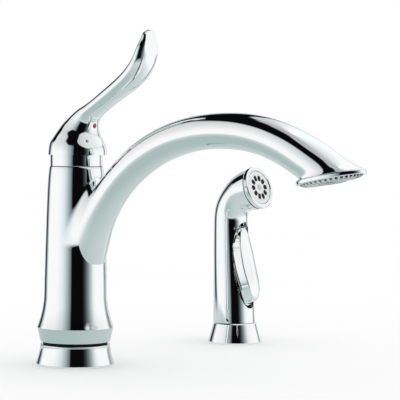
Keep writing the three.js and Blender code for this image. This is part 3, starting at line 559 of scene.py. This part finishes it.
def soften(piece, own, other, width, level):
    """Turns the normals beside a joint towards those of the other form, as a ground fillet does. Below the
    level it fades out."""
    mesh, fade = piece.data, 3
    normals = triples(mesh.corner_normals, "vector")
    for face in mesh.polygons:
        apart, apart_other = (surface[0].find_nearest(face.center)[3] for surface in (own, other))
        if face.center.z < level - fade or apart > apart_other:
            continue
        for loop in face.loop_indices:
            place = mesh.vertices[mesh.loops[loop].vertex_index].co
            hit, distance = other[0].find_nearest(place, width)[2:]
            if hit is not None:
                share = (1 - distance / width) * min(1, max(0, (place.z - level + fade) / (fade + 1)))
                normals[loop] += (other[2][hit].mean(0) - normals[loop]) * share * share * (3 - 2 * share)
    normals /= np.maximum(np.linalg.norm(normals, axis=1), 1e-9)[:, None]
    mesh.normals_split_custom_set(normals.tolist())


# %% [markdown]
# The cutting itself is a row of Boolean modifiers, one for each tool, as on a mill. Then the result is kept
# as a plain mesh and gets its shading.

# %% Helpers for joining and cutting
def applied(piece):
    """Keeps what the modifiers make of a piece as its plain mesh."""
    graph = bpy.context.evaluated_depsgraph_get()
    mesh = bpy.data.meshes.new_from_object(piece.evaluated_get(graph), depsgraph=graph)
    piece.modifiers.clear()
    piece.data = mesh
    return mesh


def built(blank, *steps, soft=None):
    """Cuts a blank with tools. A tool that isn't a cutter comes as its deed and itself. Soft names the number
    of a tool, a width and a lowest level."""
    steps = [step if isinstance(step, tuple) else ("DIFFERENCE", step) for step in steps]
    surfaces = [surface_of(part) for part in (blank, *(tool for _, tool in steps))]
    for deed, tool in steps:
        change = blank.modifiers.new(deed, "BOOLEAN")
        change.operation, change.object, change.solver = deed, tool, "MANIFOLD"
    mesh = applied(blank)
    for _, tool in steps:
        bpy.data.objects.remove(tool)
    shade_like(blank, surfaces)
    if soft:
        soften(blank, surfaces[0], surfaces[soft[0]], *soft[1:])
    print(blank.name, "faces:", len(mesh.polygons))
    return blank


def half_space(name, matrix):
    """All that lies below a plane, as far as a piece is wide. The plane is moved by a matrix."""
    far = 130
    square = [(-far, -far), (far, -far), (far, far), (-far, far)]
    return prism(name, square, -2 * far, 0, matrix)


# %% [markdown]
# A finished piece is scaled to metres, gets its finish, and is told which body it rides on. The CAD nodes
# that it stands for are hidden.

# %% A helper for finished pieces
def done(piece, body, slot, *nodes, lift=(0, 0, 0)):
    piece.data.transform(Matrix.Scale(MM, 4) @ Matrix.Translation(lift))
    piece.data.materials.clear()
    piece.data.materials.append(finishes[slot])
    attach(piece, body)
    if nodes:
        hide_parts(*nodes)
    low, high = (Vector(map(way, zip(*(v.co for v in piece.data.vertices)))) / MM for way in (min, max))
    print(piece.name, "from", [round(v, 1) for v in low], "to", [round(v, 1) for v in high], "mm")
    return piece


# %% [markdown]
# ## The base
# On the deck lies a flared ring, and above it a dark groove where the body turns on its bearing ring. Both
# are turned on a lathe in reality, so both are outlines turned about the axis here. The gasket under the
# ring is stamped from sheet.

# %% Turn the base
gap = 0.3
base_foot, base_neck, base_height, base_edge = 29.6, 26.6, 14.4, 1.4
base_lip = base_height + 1.6
column_shelf, shank_hole = 22.5, 16.5
body_foot = base_height + 3.5 + 2 * gap


def bell(foot, neck, power, shares):
    """Points up a flared wall, between a foot and a neck given as radius and level."""
    return [(neck[0] + (foot[0] - neck[0]) * (1 - share)**power, foot[1] + (neck[1] - foot[1]) * share)
            for share in shares]


base_outline = [
    (base_foot, 0, 0.5), (base_foot, base_edge, 0.6),
    *bell((base_foot, base_edge), (base_neck, base_height), 1.3, np.linspace(0.06, 0.95, 16)),
    (base_neck, base_lip, 0.7), (base_neck - 1, base_lip, 0.2), (25.5, base_height),
    (column_shelf, base_height), (column_shelf, 10), (shank_hole, 10), (shank_hole, 0),
    (20.9, 0), (20.9, 1.8), (26.5, 1.8), (26.5, 0),
]
done(turned("base_ring", base_outline), "base_and_column", "chrome", "base_flange")
done(turned("base_gasket_ring", [(21.2, 0), (26.2, 0, 0.3), (26.2, 1.5), (21.2, 1.5)]),
     "base_and_column", "rubber", "base_gasket")
done(turned("bearing_ring", [(15.7, base_height + gap), (24.6, base_height + gap, 0.4),
                             (24.6, body_foot - gap, 0.4), (15.7, body_foot - gap)]),
     "base_and_column", "black_plastic", "swivel_ring")

# %% [markdown]
# ## Body and spout
# The real body and spout are one brass casting, ground and plated. The body is turned: a tapered band, a
# flare like a trumpet's, a waist and a shoulder. The tube leaves it at a slant, rises over its arc, slims and
# fills out again, and ends in a flattened oval. Where it meets the body the line is crisp at the sides, and a
# soft fillet on top.

# %% Turn the body
body_top = 151.0
band_top, band_radius = body_foot + 10.6, 29
waist_level, waist_radius = 57.0, 23.8
shoulder_level, shoulder_radius = 130, 21.9
flank = bell((band_radius, band_top), (waist_radius, waist_level), 2.1, np.linspace(0, 1, 9))
flank += [
    ((waist_radius + shoulder_radius) / 2 + 0.15, (waist_level + shoulder_level) / 2),
    (shoulder_radius, shoulder_level), (20.9, 146), (20.45, 150.3),
]
flank = fair(flank, 90)
body_blank = turned("faucet_body", [
    (25.6, body_foot - 0.4, 0.2), (26.4, body_foot - 0.4, 0.4), (28.95, band_top - 0.35),
    (29.05, band_top - 0.15), *map(tuple, flank),
    (20.15, body_top), (0, body_top), (0, body_foot), (25.5, body_foot),
])
print("body:", round(body_top - body_foot, 1), "mm tall")

# %% [markdown]
# The tube follows one line from inside the body over the apex to the outlet. Two Bezier curves that share the
# apex's level direction give an even arc. Its size changes slowly along the line, given in even shares.

# %% Draw the tube's line
def bezier(points, steps=600):
    points = np.array(points, float)
    t = np.linspace(0, 1, steps)[:, None]
    return ((1 - t)**3 * points[0] + 3 * t * (1 - t)**2 * points[1]
            + 3 * t**2 * (1 - t) * points[2] + t**3 * points[3])


def leaning(start, pull, degrees):
    angle = math.radians(degrees)
    return start[0] + pull * math.cos(angle), start[1] + pull * math.sin(angle)


# The tube's line, as reach and level. It leaves the body at 63 degrees and comes down to the outlet at 34.
root, apex, end = (7.5, 83.5), (144, 179.6), (233, 149.3)
path = np.concatenate([
    bezier([root, leaning(root, 62, 63), (apex[0] - 75, apex[1]), apex]),
    bezier([apex, (apex[0] + 36, apex[1]), leaning(end, 33, 180 - 34), end])[1:],
])
length = np.concatenate([[0], np.cumsum(np.linalg.norm(np.diff(path, axis=0), axis=1))])
shares = np.linspace(0, 1, 15)
spine, slope = (np.stack([np.interp(shares * length[-1], length, line[:, i]) for i in range(2)], 1)
                for line in (path, np.gradient(path, axis=0) / np.gradient(length)[:, None]))

# Along the tube, in even shares: half width, half thickness, and how far its middle lies above the path.
tube_sizes = np.array([
    (17, 15, 2.2), (15.9, 13.9, 2.2), (14.2, 12.8, 2.2), (12.9, 12.3, 2), (12.5, 12.3, 1.3),
    (12.6, 12.6, 0.6), (12.7, 12.7, 0.2), (12.7, 12.7, 0), (12.7, 12.7, 0), (12.9, 12.9, 0),
    (13.3, 13.3, 0), (13.9, 13.9, 0), (14.5, 14.5, 0), (15.2, 15.2, 0), (15.9, 15.9, 0),
])
spine += np.stack([-slope[:, 1], slope[:, 0]], 1) * tube_sizes[:, 2:]


def tube_rows(wall, run_on, steps):
    """Even rows along the tube, and some more straight on from its end."""
    rows = fair(np.column_stack([spine, tube_sizes[:, :2] - wall]), 150)
    step = rows[-1] - rows[-2]
    step *= run_on / steps / np.linalg.norm(step[:2])
    return np.vstack([rows, [rows[-1] + step * (k + 1) for k in range(steps)]])


print("tube:", round(length[-1]), "mm long")

# %% [markdown]
# The outlet is a flat oval, tilted a little. The tube's last rings turn from square to the tube to flat on
# this oval, like a fan, and spread to its thin rim.

# %% Flare the tube into its outlet
outlet_tilt = math.radians(11)
outlet_place = shift(0, -end[0], end[1]) @ Matrix.Rotation(-outlet_tilt, 4, "X")
outlet_half, outlet_stretch, outlet_top, outlet_bottom = 17.0, 10.5, 1.2, -2.6
outlet_lip, recess_top = 2.4, -0.8
rim_level, neck_level = 0.9, 2.2
rim_back, rim_front, rim_half = 25.6, 26.3, 16.6
flare_out, flare_height = 3.6, 14


def flared_tube(name):
    """The tube's outside. Its last rings fan round from square to the tube to flat on the rim, and flare."""
    rows = tube_rows(wall=0, run_on=30, steps=36)
    tops, lows = edges_of(rows)
    out = np.array((math.cos(outlet_tilt), math.sin(outlet_tilt)))
    rise = np.array((-out[1], out[0]))
    top_levels, low_levels = (tops - end) @ rise, (lows - end) @ rise
    beyond_apex = 90
    first = next(i for i in range(beyond_apex, len(rows)) if low_levels[i] < neck_level)
    last = next(i for i in range(first, len(rows)) if top_levels[i] < rim_level + 0.3)
    fan = slice(first, last)
    share = np.linspace(0, 1, last - first + 1)[:-1, None]
    low_end, top_end = (end + out * reach + rise * rim_level for reach in (-rim_back, rim_front))
    lows[fan] = lows[first] + (low_end - lows[first]) * share**2
    tops[fan] += out * flare_out * np.clip(1 - (top_levels[fan, None] - rim_level) / flare_height, 0, 1)**3
    widths = rows[:, 2].copy()
    widths[fan] = widths[first] + (rim_half - widths[first]) * (0.25 * share[:, 0] + 0.75 * share[:, 0]**4)
    # Near the body the underside stays ahead of a slanting line, the chin, and meets it softly.
    chin, chin_reach, chin_level, chin_slope = slice(22), 23.9, 77, 0.27
    chin_line = chin_reach + chin_slope * (lows[chin, 1] - chin_level)
    lows[chin, 0] = chin_line + np.log1p(np.exp(lows[chin, 0] - chin_line))
    tops, lows = np.vstack([tops[:last], top_end]), np.vstack([lows[:last], low_end])
    return skin(name, tops, lows, np.append(widths[:last], rim_half))


def on_outlet(piece):
    return moved(piece, outlet_place)


print("outlet:", 2 * outlet_half, "by", 2 * (outlet_half + outlet_stretch), "mm")

# %% Join body and spout
waterway = loft("waterway", tube_rows(wall=2.7, run_on=6.4, steps=1))
rim = on_outlet(turned("outlet_rim", [
    (0, outlet_bottom), (outlet_half, outlet_bottom, 0.8), (outlet_half, outlet_top, 1.6), (0, outlet_top),
], stretch=outlet_stretch))
recess = on_outlet(rod("outlet_recess", outlet_half - outlet_lip, outlet_bottom - 1, recess_top,
                       stretch=outlet_stretch))
body_bore = rod("body_bore", 18.6, body_foot - 1, body_top + 1)
tube_tool, fillet_width, fillet_level = 1, 8.0, 93.0
body_and_spout = built(
    body_blank, ("UNION", flared_tube("spout_tube")), ("UNION", rim), body_bore, waterway, recess,
    soft=(tube_tool, fillet_width, fillet_level))
done(body_and_spout, "spout", "chrome", "spout")

# %% [markdown]
# ## The dome cap
# Under the handle sits a cap, part of a ball about the pivot on a straight skirt. Its bright skirt is the
# collar that shows between body and handle. A thin dark ring lies where it stands on the body.

# %% Turn the dome cap
pivot = body_top + 5


def arc(radius, start, stop, steps=14):
    return [(radius * math.cos(a), radius * math.sin(a)) for a in np.linspace(start, stop, steps)]


cap_radius, cap_wall, cap_hole, skirt_hole, skirt_height = 20.2, 1.5, 13.8, 18.3, 4
cap_inside = cap_radius - cap_wall
outer_ball = arc(cap_radius, math.asin(skirt_height / cap_radius), math.acos(cap_hole / cap_radius))
inner_ball = arc(cap_inside, math.acos(cap_hole / cap_inside), math.acos(skirt_hole / cap_inside))
cap_foot = body_top + gap - pivot
cap_outline = [(outer_ball[0][0], cap_foot, 0.4), *outer_ball, *inner_ball, (skirt_hole, cap_foot)]
done(turned("domed_cap", cap_outline), "base_and_column", "chrome", "dome_cap", lift=(0, 0, pivot))
slip_low, slip_high = body_top + 0.04, body_top + 0.26
slip_ring = [(18.5, slip_low), (19.8, slip_low), (19.8, slip_high), (18.5, slip_high)]
done(turned("cap_slip_ring", slip_ring, 96), "base_and_column", "rubber")

# %% [markdown]
# ## The handle
# A bell-shaped hub runs up into the lever, which sweeps up in one curve and ends in a leaf with a flat facet.
# A ring through the hub is given by its back and its front point, since both sides of a bell are seen in the
# outline. A ring of the lever stands square to the lever's line. One even skin runs over both.

# %% Shape the handle
cap_clearance, hub_wall = 0.6, 1.5
hub = cap_radius + cap_clearance + hub_wall
# Through the hub: back point and front point, each as reach and level, and half width.
hub_rings = [
    (0.9 - hub, 2, 0.9 + hub, 2, hub), (-20.7, 9, 22.9, 8.8, 21.8), (-20, 13.5, 21.7, 12.3, 20.6),
    (-17.6, 17, 20.2, 15.2, 19), (-14.8, 20.8, 18.8, 18.4, 17.2), (-12, 24.6, 18.1, 21.4, 15.2),
    (-9, 28.2, 18, 24.6, 13.6), (-5.2, 31.4, 18.5, 27.6, 12.4), (-0.6, 35, 19.4, 29.7, 11.8),
    (6, 39.4, 20.6, 31.6, 11.4),
]
# Along the lever: reach, level, half width and half thickness.
lever_rings = [
    (18, 38.3, 11, 6.4), (30, 46, 10.4, 6.3), (43.5, 54.4, 11, 6.7), (53.5, 61, 12, 7),
    (61, 67.8, 12.5, 6.9), (66.4, 76, 12.2, 6.2), (69, 84.5, 10.6, 5.1), (70.2, 91.5, 7.6, 3.9),
    (70.1, 95.6, 5, 2.6), (69.2, 96.8, 1.2, 0.8),
]


def bar_ahead(name, radius, start, stop, level):
    """A round bar that points forwards."""
    ahead = shift(z=level) @ Matrix.Rotation(math.radians(90), 4, "X")
    return moved(rod(name, radius, start, stop, 48, 0.15), ahead)


crown, keel = edges_of(np.array(lever_rings))
lever_points = np.column_stack([crown, keel, [ring[2] for ring in lever_rings]])
handle_rows = fair(np.vstack([hub_rings, lever_points]), 220)
room = cap_radius + cap_clearance
cavity = turned("handle_cavity", [(0, 0), *arc(room, 0, math.pi / 2 - 0.01, 40), (0, room)])
screw_level, screw_hole, facet_reach, skirt_foot = 26, 1.9, 72.5, 4
facet_place = shift(0, -facet_reach, 84) @ Matrix.Rotation(math.radians(-90), 4, "X")
handle = built(
    skin("lever_blank", handle_rows[:, :2], handle_rows[:, 2:4], handle_rows[:, 4]),
    half_space("below_skirt", shift(z=skirt_foot)), cavity, rod("stem_bore", 4.3, -1, 29.9, 48),
    bar_ahead("screw_bore", screw_hole, 0, 73.4, screw_level), half_space("leaf_facet", facet_place))
handle.name = "lever_handle"
on_pivot = (0, 0, pivot)

# The button closes the bore of the set screw, so its front lies level with the outer rim of that bore.
button_front = max(-v.co.y for v in handle.data.vertices
                   if v.co.y < -9 and math.hypot(v.co.x, v.co.z - screw_level) < screw_hole + 0.1)
print("front of the button:", round(button_front, 2))
button = bar_ahead("red_button", 1.6, button_front - 3.4, button_front, screw_level)
done(handle, "handle", "chrome", "handle", lift=on_pivot)
done(button, "handle", "red_plastic", "temperature_button", lift=on_pivot)

# %% [markdown]
# ## The spray's holder
# The hand spray stands in a flared ring of its own, clamped in the next hole of the deck.

# %% Turn the holder
spray_x = 203.2
beside = (spray_x, 0, 0)
holder_outline = [
    (22.4, 0, 0.4), (22.4, 1.2, 0.4), (18.2, 16.2, 0.3), (17.5, 16.9, 0.2), (13, 16.9, 0.4),
    (13, 7.8), (14.9, 7.8), (14.9, 1.8), (19.3, 1.8), (19.3, 0),
]
done(turned("holder_ring", holder_outline), "base_and_column", "chrome", "spray_holder", lift=beside)
done(turned("holder_gasket_ring", [(14.9, 0), (19, 0, 0.3), (19, 1.5), (14.9, 1.5)]),
     "base_and_column", "rubber", "holder_gasket", lift=beside)

# %% [markdown]
# ## The wand
# The grip leans back a little and bends over into the nose. It is hollow, and its front has a pocket in which
# the trigger swings. The pocket is a leaf seen from the front, cut as deep as the trigger moves.

# %% Draw the wand
# Along the wand: reach, level and radius. The last ring only steers the spline beyond the nose.
wand_rings = [
    (-0.8, -2.2, 17.8), (-1.8, 22.8, 16.9), (-3, 42.8, 16), (-4.3, 62.8, 15.1), (-5.3, 82.8, 14.2),
    (-4.2, 93.8, 14.2), (1.6, 103.6, 14.7), (10, 109.8, 16.4), (20.3, 113, 17.6), (30.6, 116.2, 17.9),
]
wand_wall, wand_foot = 2.8, 17.2
nose, beyond = (Vector(ring[:2]) for ring in wand_rings[-2:])
nose_turn = math.atan2(*(beyond - nose))
nose_place = shift(0, -nose.x, nose.y) @ Matrix.Rotation(nose_turn, 4, "X")
pin_reach, pin_level, press = 4.4, 79.4, math.radians(6)
# Leaves seen from the front: half width, bottom and top.
trigger_outline, pocket_outline = (11.6, 14.6, 83.8), (12.3, 12.2, 84.5)


def on_nose(piece):
    return moved(piece, nose_place)


trigger_front = fair([(7, 89.8), (9.4, 79.8), (11, 68.8), (13.9, 55.8), (17.4, 42.8), (20.6, 32.8),
                      (22.2, 24.8), (22.3, 18.8), (21, 10.8)], 60)


print("trigger:", trigger_outline[2] - trigger_outline[1], "mm long")


# %% Cut the wand
def leaf(half_width, bottom, top, points=120, squareness=2.3):
    """A squarish oval between two levels, as x and z."""
    bend = lambda value: math.copysign(abs(value)**(2 / squareness), value)
    angles = (2 * math.pi * k / points for k in range(points))
    return [(half_width * bend(math.cos(a)), (top + bottom) / 2 + (top - bottom) / 2 * bend(math.sin(a)))
            for a in angles]


def trigger_pocket():
    """The room that the trigger sweeps when pressed, open to the front."""
    depth, sweep, far = 10.4, math.tan(press), 54
    back = [(reach - depth - max(0, pin_level - level) * sweep, level) for reach, level in trigger_front]
    side = [(far, back[0][1] + far), (back[0][0], back[0][1] + far), *back,
            (back[-1][0], back[-1][1] - far), (far, back[-1][1] - far)]
    upright = Matrix(((0, 0, 1, 0), (-1, 0, 0, 0), (0, 1, 0, 0), (0, 0, 0, 1)))
    sides = prism("pocket_side", side, -far, far, upright)
    front = prism("pocket", leaf(*pocket_outline), -far, far, Matrix.Rotation(math.radians(90), 4, "X"))
    return built(front, ("INTERSECT", sides))


def pin_bar(name, radius, half_length):
    across = shift(0, -pin_reach, pin_level) @ Matrix.Rotation(math.radians(90), 4, "Y")
    return moved(rod(name, radius, -half_length, half_length, 48, 0.15), across)


grip = [(reach, level, radius - wand_wall) for reach, level, radius in wand_rings[:4]]
throat = [(reach, level, 5) for reach, level, _ in wand_rings[3:9]]
wand = built(
    loft("wand_shell", fair(wand_rings, 200, skip=1)), half_space("below_foot", shift()),
    rod("connector_seat", 14.3, -1, 4.2, 96), loft("grip_cavity", fair(grip, 40), 64),
    loft("throat", fair(throat, 60), 32), on_nose(rod("nose_chamber", 13, -9, 1, 96)),
    trigger_pocket(), pin_bar("pin_hole", 1.8, 9.9))
on_spray = (spray_x, 0, wand_foot)
done(wand, "side_spray", "chrome", "spray_wand", lift=on_spray)
done(pin_bar("pivot_pin", 1.5, 9.6), "side_spray", "steel", "trigger_pin", lift=on_spray)

# %% [markdown]
# ## The trigger
# The trigger is a thick leaf. A gently crowned facet faces forwards, a crisp edge runs round it, and the
# flank slopes out to the leaf's full outline. Rings of the same leaf outline, each a little larger and deeper
# than the one before and bent to the front profile, give exactly that.

# %% Shape the trigger
def trigger_blade(size=120):
    half_width, bottom, top = trigger_outline
    # From the facet's middle outwards: how far in from the outline, and how far behind the front profile.
    rings = [(3.5 + 8.0 * (1 - share), 0.9 * share**2) for share in np.linspace(0.02, 1, 16)]
    rings += [(3.3, 0.98), (3.1, 1.14), (2.95, 1.4), (2.8, 1.9), (0.9, 7.6), (0.6, 7.9), (0.2, 8.1),
              (0, 8.3), (0, 8.7), (0.4, 9), (6, 9)]
    points = []
    for inset, drop in rings:
        for x, level in leaf(half_width - inset, bottom + 1.6 * inset, top - 1.5 * inset, size):
            reach = np.interp(-level, -trigger_front[:, 1], trigger_front[:, 0])
            points.append((x, -(reach - drop), level))
    return new_object("trigger_leaf", points, sleeve(size, len(rings)), 24)


trigger = built(trigger_blade(), pin_bar("pin_bore", 1.8, 12.6))
done(trigger, "trigger", "chrome", "trigger", lift=on_spray)

# %% [markdown]
# ## The spray head
# A round bezel holds the nozzle plate. Ten soft black nozzles stand in slots of the plate, in a ring round a
# small cap. The ring is a rule, so Geometry Nodes make it: a rounded slot, set on a circle as often as the
# count says. The same tree cuts the slots from the plate and makes the nozzles that fill them.

# %% Helpers for geometry trees
def geometry_tree(name, **sizes):
    """A tree with a geometry input and output, and a named number input for each size."""
    tree = bpy.data.node_groups.new(name, "GeometryNodeTree")
    tree.interface.new_socket("Geometry", in_out="INPUT", socket_type="NodeSocketGeometry")
    tree.interface.new_socket("Material", in_out="INPUT", socket_type="NodeSocketMaterial")
    for size, value in sizes.items():
        kind = "NodeSocketInt" if isinstance(value, int) else "NodeSocketFloat"
        tree.interface.new_socket(size, in_out="INPUT", socket_type=kind).default_value = value
    tree.interface.new_socket("Geometry", in_out="OUTPUT", socket_type="NodeSocketGeometry")
    return tree, node(tree, "NodeGroupInput").outputs


def closed_tree(tree, inputs, geometry):
    """Ends a tree: real meshes instead of instances, and the finish."""
    real = node(tree, "GeometryNodeRealizeInstances", {"Geometry": geometry})
    dressed = node(tree, "GeometryNodeSetMaterial", {"Geometry": real, "Material": inputs["Material"]})
    node(tree, "NodeGroupOutput", {"Geometry": dressed})


def grown(piece, tree, slot, crease=30, **sizes):
    """Runs a tree on a piece with these sizes, and keeps the result as a plain mesh."""
    change = piece.modifiers.new(tree.name, "NODES")
    change.node_group = tree
    names = {item.name: item.identifier for item in tree.interface.items_tree if item.in_out == "INPUT"}
    change[names["Material"]] = finishes[slot]
    for size, value in sizes.items():
        change[names[size]] = value
    mesh = applied(piece)
    mesh.shade_smooth()
    mesh.set_sharp_from_angle(angle=math.radians(crease))
    print(piece.name, "faces after", tree.name, len(mesh.polygons))
    return piece


# %% Grow a ring of slots
slots, at = geometry_tree("ring_of_slots", Count=10, Ring=8.0, Length=4.3, Width=3.5, Low=0.0, High=5.0,
                          Stretch=0.0, Cut=1)
box = node(slots, "GeometryNodeCurvePrimitiveQuadrilateral", {"Width": at["Length"], "Height": at["Width"]})
corner = calc(slots, "MULTIPLY", at["Width"], 0.42)
outline = node(slots, "GeometryNodeFilletCurve", {
    "Curve": box, "Count": 5, "Limit Radius": True, "Radius": corner}, mode="POLY")
start, stop = (node(slots, "ShaderNodeCombineXYZ", {"Z": at[level]}) for level in ("Low", "High"))
depth = node(slots, "GeometryNodeCurvePrimitiveLine", {"Start": start, "End": stop})
plug = node(slots, "GeometryNodeCurveToMesh", {"Curve": depth, "Profile Curve": outline, "Fill Caps": True})
circle = node(slots, "GeometryNodeMeshCircle", {"Vertices": at["Count"], "Radius": at["Ring"]})
angle = calc(slots, "MULTIPLY", node(slots, "GeometryNodeInputIndex"), 2 * math.pi)
angle = calc(slots, "DIVIDE", angle, at["Count"])
aside = calc(slots, "MULTIPLY", calc(slots, "SINE", angle), at["Stretch"])
oval = node(slots, "GeometryNodeSetPosition", {
    "Geometry": circle, "Offset": node(slots, "ShaderNodeCombineXYZ", {"Y": aside})})
ring = node(slots, "GeometryNodeInstanceOnPoints", {
    "Points": oval, "Instance": plug, "Rotation": node(slots, "ShaderNodeCombineXYZ", {"Z": angle})})
ring = node(slots, "GeometryNodeRealizeInstances", {"Geometry": ring})
cut = node(slots, "GeometryNodeMeshBoolean", {"Mesh 1": at["Geometry"], "Mesh 2": ring},
           operation="DIFFERENCE")
closed_tree(slots, at, node(slots, "GeometryNodeSwitch", {"Switch": at["Cut"], "False": ring, "True": cut},
                            input_type="GEOMETRY"))
print("tree:", slots.name, len(slots.nodes), "nodes")

# %% Shape the spray head
plate = turned("nozzle_plate", [(0, 0.9), (14.1, 0.9), (14.1, 3.9, 0.5), (11.6, 3.9, 0.2), (11.4, 3.5, 0.2),
                                (10.9, 3.5, 0.2), (10.7, 3.9, 0.2), (0, 3.9)], 96)
grown(plate, slots, "white_plastic", Length=5.0, Width=4.1, Low=-1.0, High=6.0)
done(on_nose(plate), "side_spray", "white_plastic", "spray_face", lift=on_spray)
nozzles = grown(new_object("rubber_nozzles", [], []), slots, "rubber", Length=4.9, Width=4.0,
                Low=1.2, High=3.5, Cut=0)
done(on_nose(nozzles), "side_spray", "rubber", lift=on_spray)
bezel_outline = [(14.4, 0.3), (17.6, 0.3, 0.3), (18.2, 1.7, 0.6), (17.6, 3.9, 0.5), (16.8, 4.5, 0.4),
                 (15, 4.5, 0.4), (14.4, 3.9, 0.2)]
done(on_nose(turned("head_bezel", bezel_outline)), "side_spray", "chrome", "spray_bezel", lift=on_spray)
done(on_nose(turned("nozzle_cap", [(0, 3), (2.6, 3), (2.6, 4.2, 0.4), (0, 4.2)], 64)), "side_spray",
     "grey_plastic", "spray_face_cap", lift=on_spray)

# %% [markdown]
# ## The plate in the outlet
# In the mouth of the spout an oval plate hangs a little below the rim, with slots all round the aerator. It
# is domed, so from the side one still sees its slots, dark with painted shade: black fills at their deep ends
# stand in for the shade inside them. The tree of the spray head makes slots and fills as well: its circle
# becomes an oval by the stretch.

# %% Shape the outlet plate
plate_outline = [(0, -5), (7, -4.95), (11, -4.5), (13.4, -3.7), (14.3, -2.8, 0.3), (14.3, -1.2), (0, -1.2)]
outlet_plate = built(turned("outlet_grille", plate_outline, 128, outlet_stretch),
                     rod("aerator_hole", 9.9, -9, 3, 96))
oval_ring = dict(Count=36, Width=1.9, Stretch=outlet_stretch)
grown(outlet_plate, slots, "grey_plastic", Ring=12.6, Length=5.0, Low=-7.0, High=-2.2, **oval_ring)
done(on_outlet(outlet_plate), "spout", "grey_plastic", "outlet_plate")
# Black fills at the deep end of each slot are painted shade: dark pieces that stand in for the shade inside
# the slots.
painted_slot_shade = grown(new_object("outlet_painted_slot_shade", [], []), slots, "rubber", Ring=12.05, Length=3.8,
               Low=-3.3, High=-2.3, Cut=0, **oval_ring)
done(on_outlet(painted_slot_shade), "spout", "rubber")
done(on_outlet(turned("aerator_ring", [(8.2, -5.1), (9.6, -5.1, 0.3), (9.6, -1.2, 0.3), (8.2, -1.2)], 96)),
     "spout", "chrome", "aerator_housing")

# %% [markdown]
# ## Threads and nuts
# Below the deck hex nuts clamp two threaded shanks, the faucet's of brass and the spray's of black plastic. A
# thread is a rule too: on a finely turned wall each point moves inwards by a wave that climbs one pitch in
# each turn. The nuts are hexagons whose corners are taken off by a turned cone.

# %% Cut a thread
pitch = 2.0
threads, at = geometry_tree("screw_thread", Radius=16.0, Pitch=pitch, Depth=0.9, Low=-75.0, High=-6.0)


def worked(operation, *inputs):
    return calc(threads, operation, *inputs)


axes = node(threads, "ShaderNodeSeparateXYZ", {0: node(threads, "GeometryNodeInputPosition")}).outputs
flat = node(threads, "ShaderNodeCombineXYZ", {0: axes[0], 1: axes[1]})
reach = node(threads, "ShaderNodeVectorMath", {0: flat}, operation="LENGTH").outputs["Value"]
turns = worked("DIVIDE", worked("ARCTAN2", axes[1], axes[0]), 2 * math.pi)
climb = worked("FRACT", worked("SUBTRACT", worked("DIVIDE", axes[2], at["Pitch"]), turns))
wave = worked("ABSOLUTE", worked("SUBTRACT", worked("MULTIPLY", climb, 2.0), 1.0))
outside = worked("GREATER_THAN", reach, worked("SUBTRACT", at["Radius"], 0.05))
ends = [node(threads, "ShaderNodeClamp", {0: worked("DIVIDE", worked("SUBTRACT", *pair), at["Pitch"])})
        for pair in ((axes[2], at["Low"]), (at["High"], axes[2]))]
depth = worked("MULTIPLY", worked("MULTIPLY", at["Depth"], outside),
               worked("MULTIPLY", wave, worked("MULTIPLY", *ends)))
inwards = node(threads, "ShaderNodeVectorMath", {0: flat}, operation="NORMALIZE")
inwards = node(threads, "ShaderNodeVectorMath", {0: inwards, 3: worked("MULTIPLY", depth, -1.0)},
               operation="SCALE")
closed_tree(threads, at, node(threads, "GeometryNodeSetPosition", {
    "Geometry": at["Geometry"], "Offset": inwards}))
print("tree:", threads.name, len(threads.nodes), "nodes")


# %% Make shanks and nuts
def shank(name, slot, radius, bore, low, high, plain):
    """A threaded tube with a plain top. Its wall has six rows in each pitch."""
    rows = np.arange(low, high - plain, pitch / 6)
    outline = [(bore, low), *((radius, level) for level in rows), (radius, high), (bore, high)]
    return grown(turned(name, outline, 96), threads, slot, 40,
                 Radius=radius, Low=float(low), High=float(high - plain))


def nut(name, bore, across, low, high):
    corner, chamfer = across / math.sqrt(3), 1.2
    angles = [math.radians(60 * k + 30) for k in range(6)]
    hexagon = [(corner * math.cos(a), corner * math.sin(a)) for a in angles]
    cone = [(0, low), (across / 2, low), (corner + 0.2, low + chamfer), (corner + 0.2, high - chamfer),
            (across / 2, high), (0, high)]
    return built(prism(name, hexagon, low, high), ("INTERSECT", turned("nut_cone", cone, 96)),
                 rod("nut_bore", bore, low - 1, high + 1, 96))


deck = 30
done(shank("deck_shank", "brass", radius=16.2, bore=13, low=-58, high=10, plain=8),
     "base_and_column", "brass", "threaded_shank")
done(nut("shank_nut", 16.5, 43.4, -deck - 12.3, -deck - 2.3), "base_and_column", "brass", "deck_nut")
done(shank("spray_shank", "black_plastic", radius=14.6, bore=12.7, low=-42, high=7.5, plain=6),
     "base_and_column", "black_plastic", "holder_shank", lift=beside)
done(nut("spray_shank_nut", 14.9, 39.8, -deck - 8.8, -deck - 1.8),
     "base_and_column", "black_plastic", "holder_nut", lift=beside)

# %% [markdown]
# ## What stays as it is
# The pieces inside the shells and below the deck keep their CAD solids and get the finish of their slot.

# %% Dress the CAD nodes
for name, solid in frame["nodes"].items():
    for slot in solid.material_slots:
        slot.material = finishes[slot.material.name.split(".")[0]]
print("dressed:", len(frame["nodes"]))
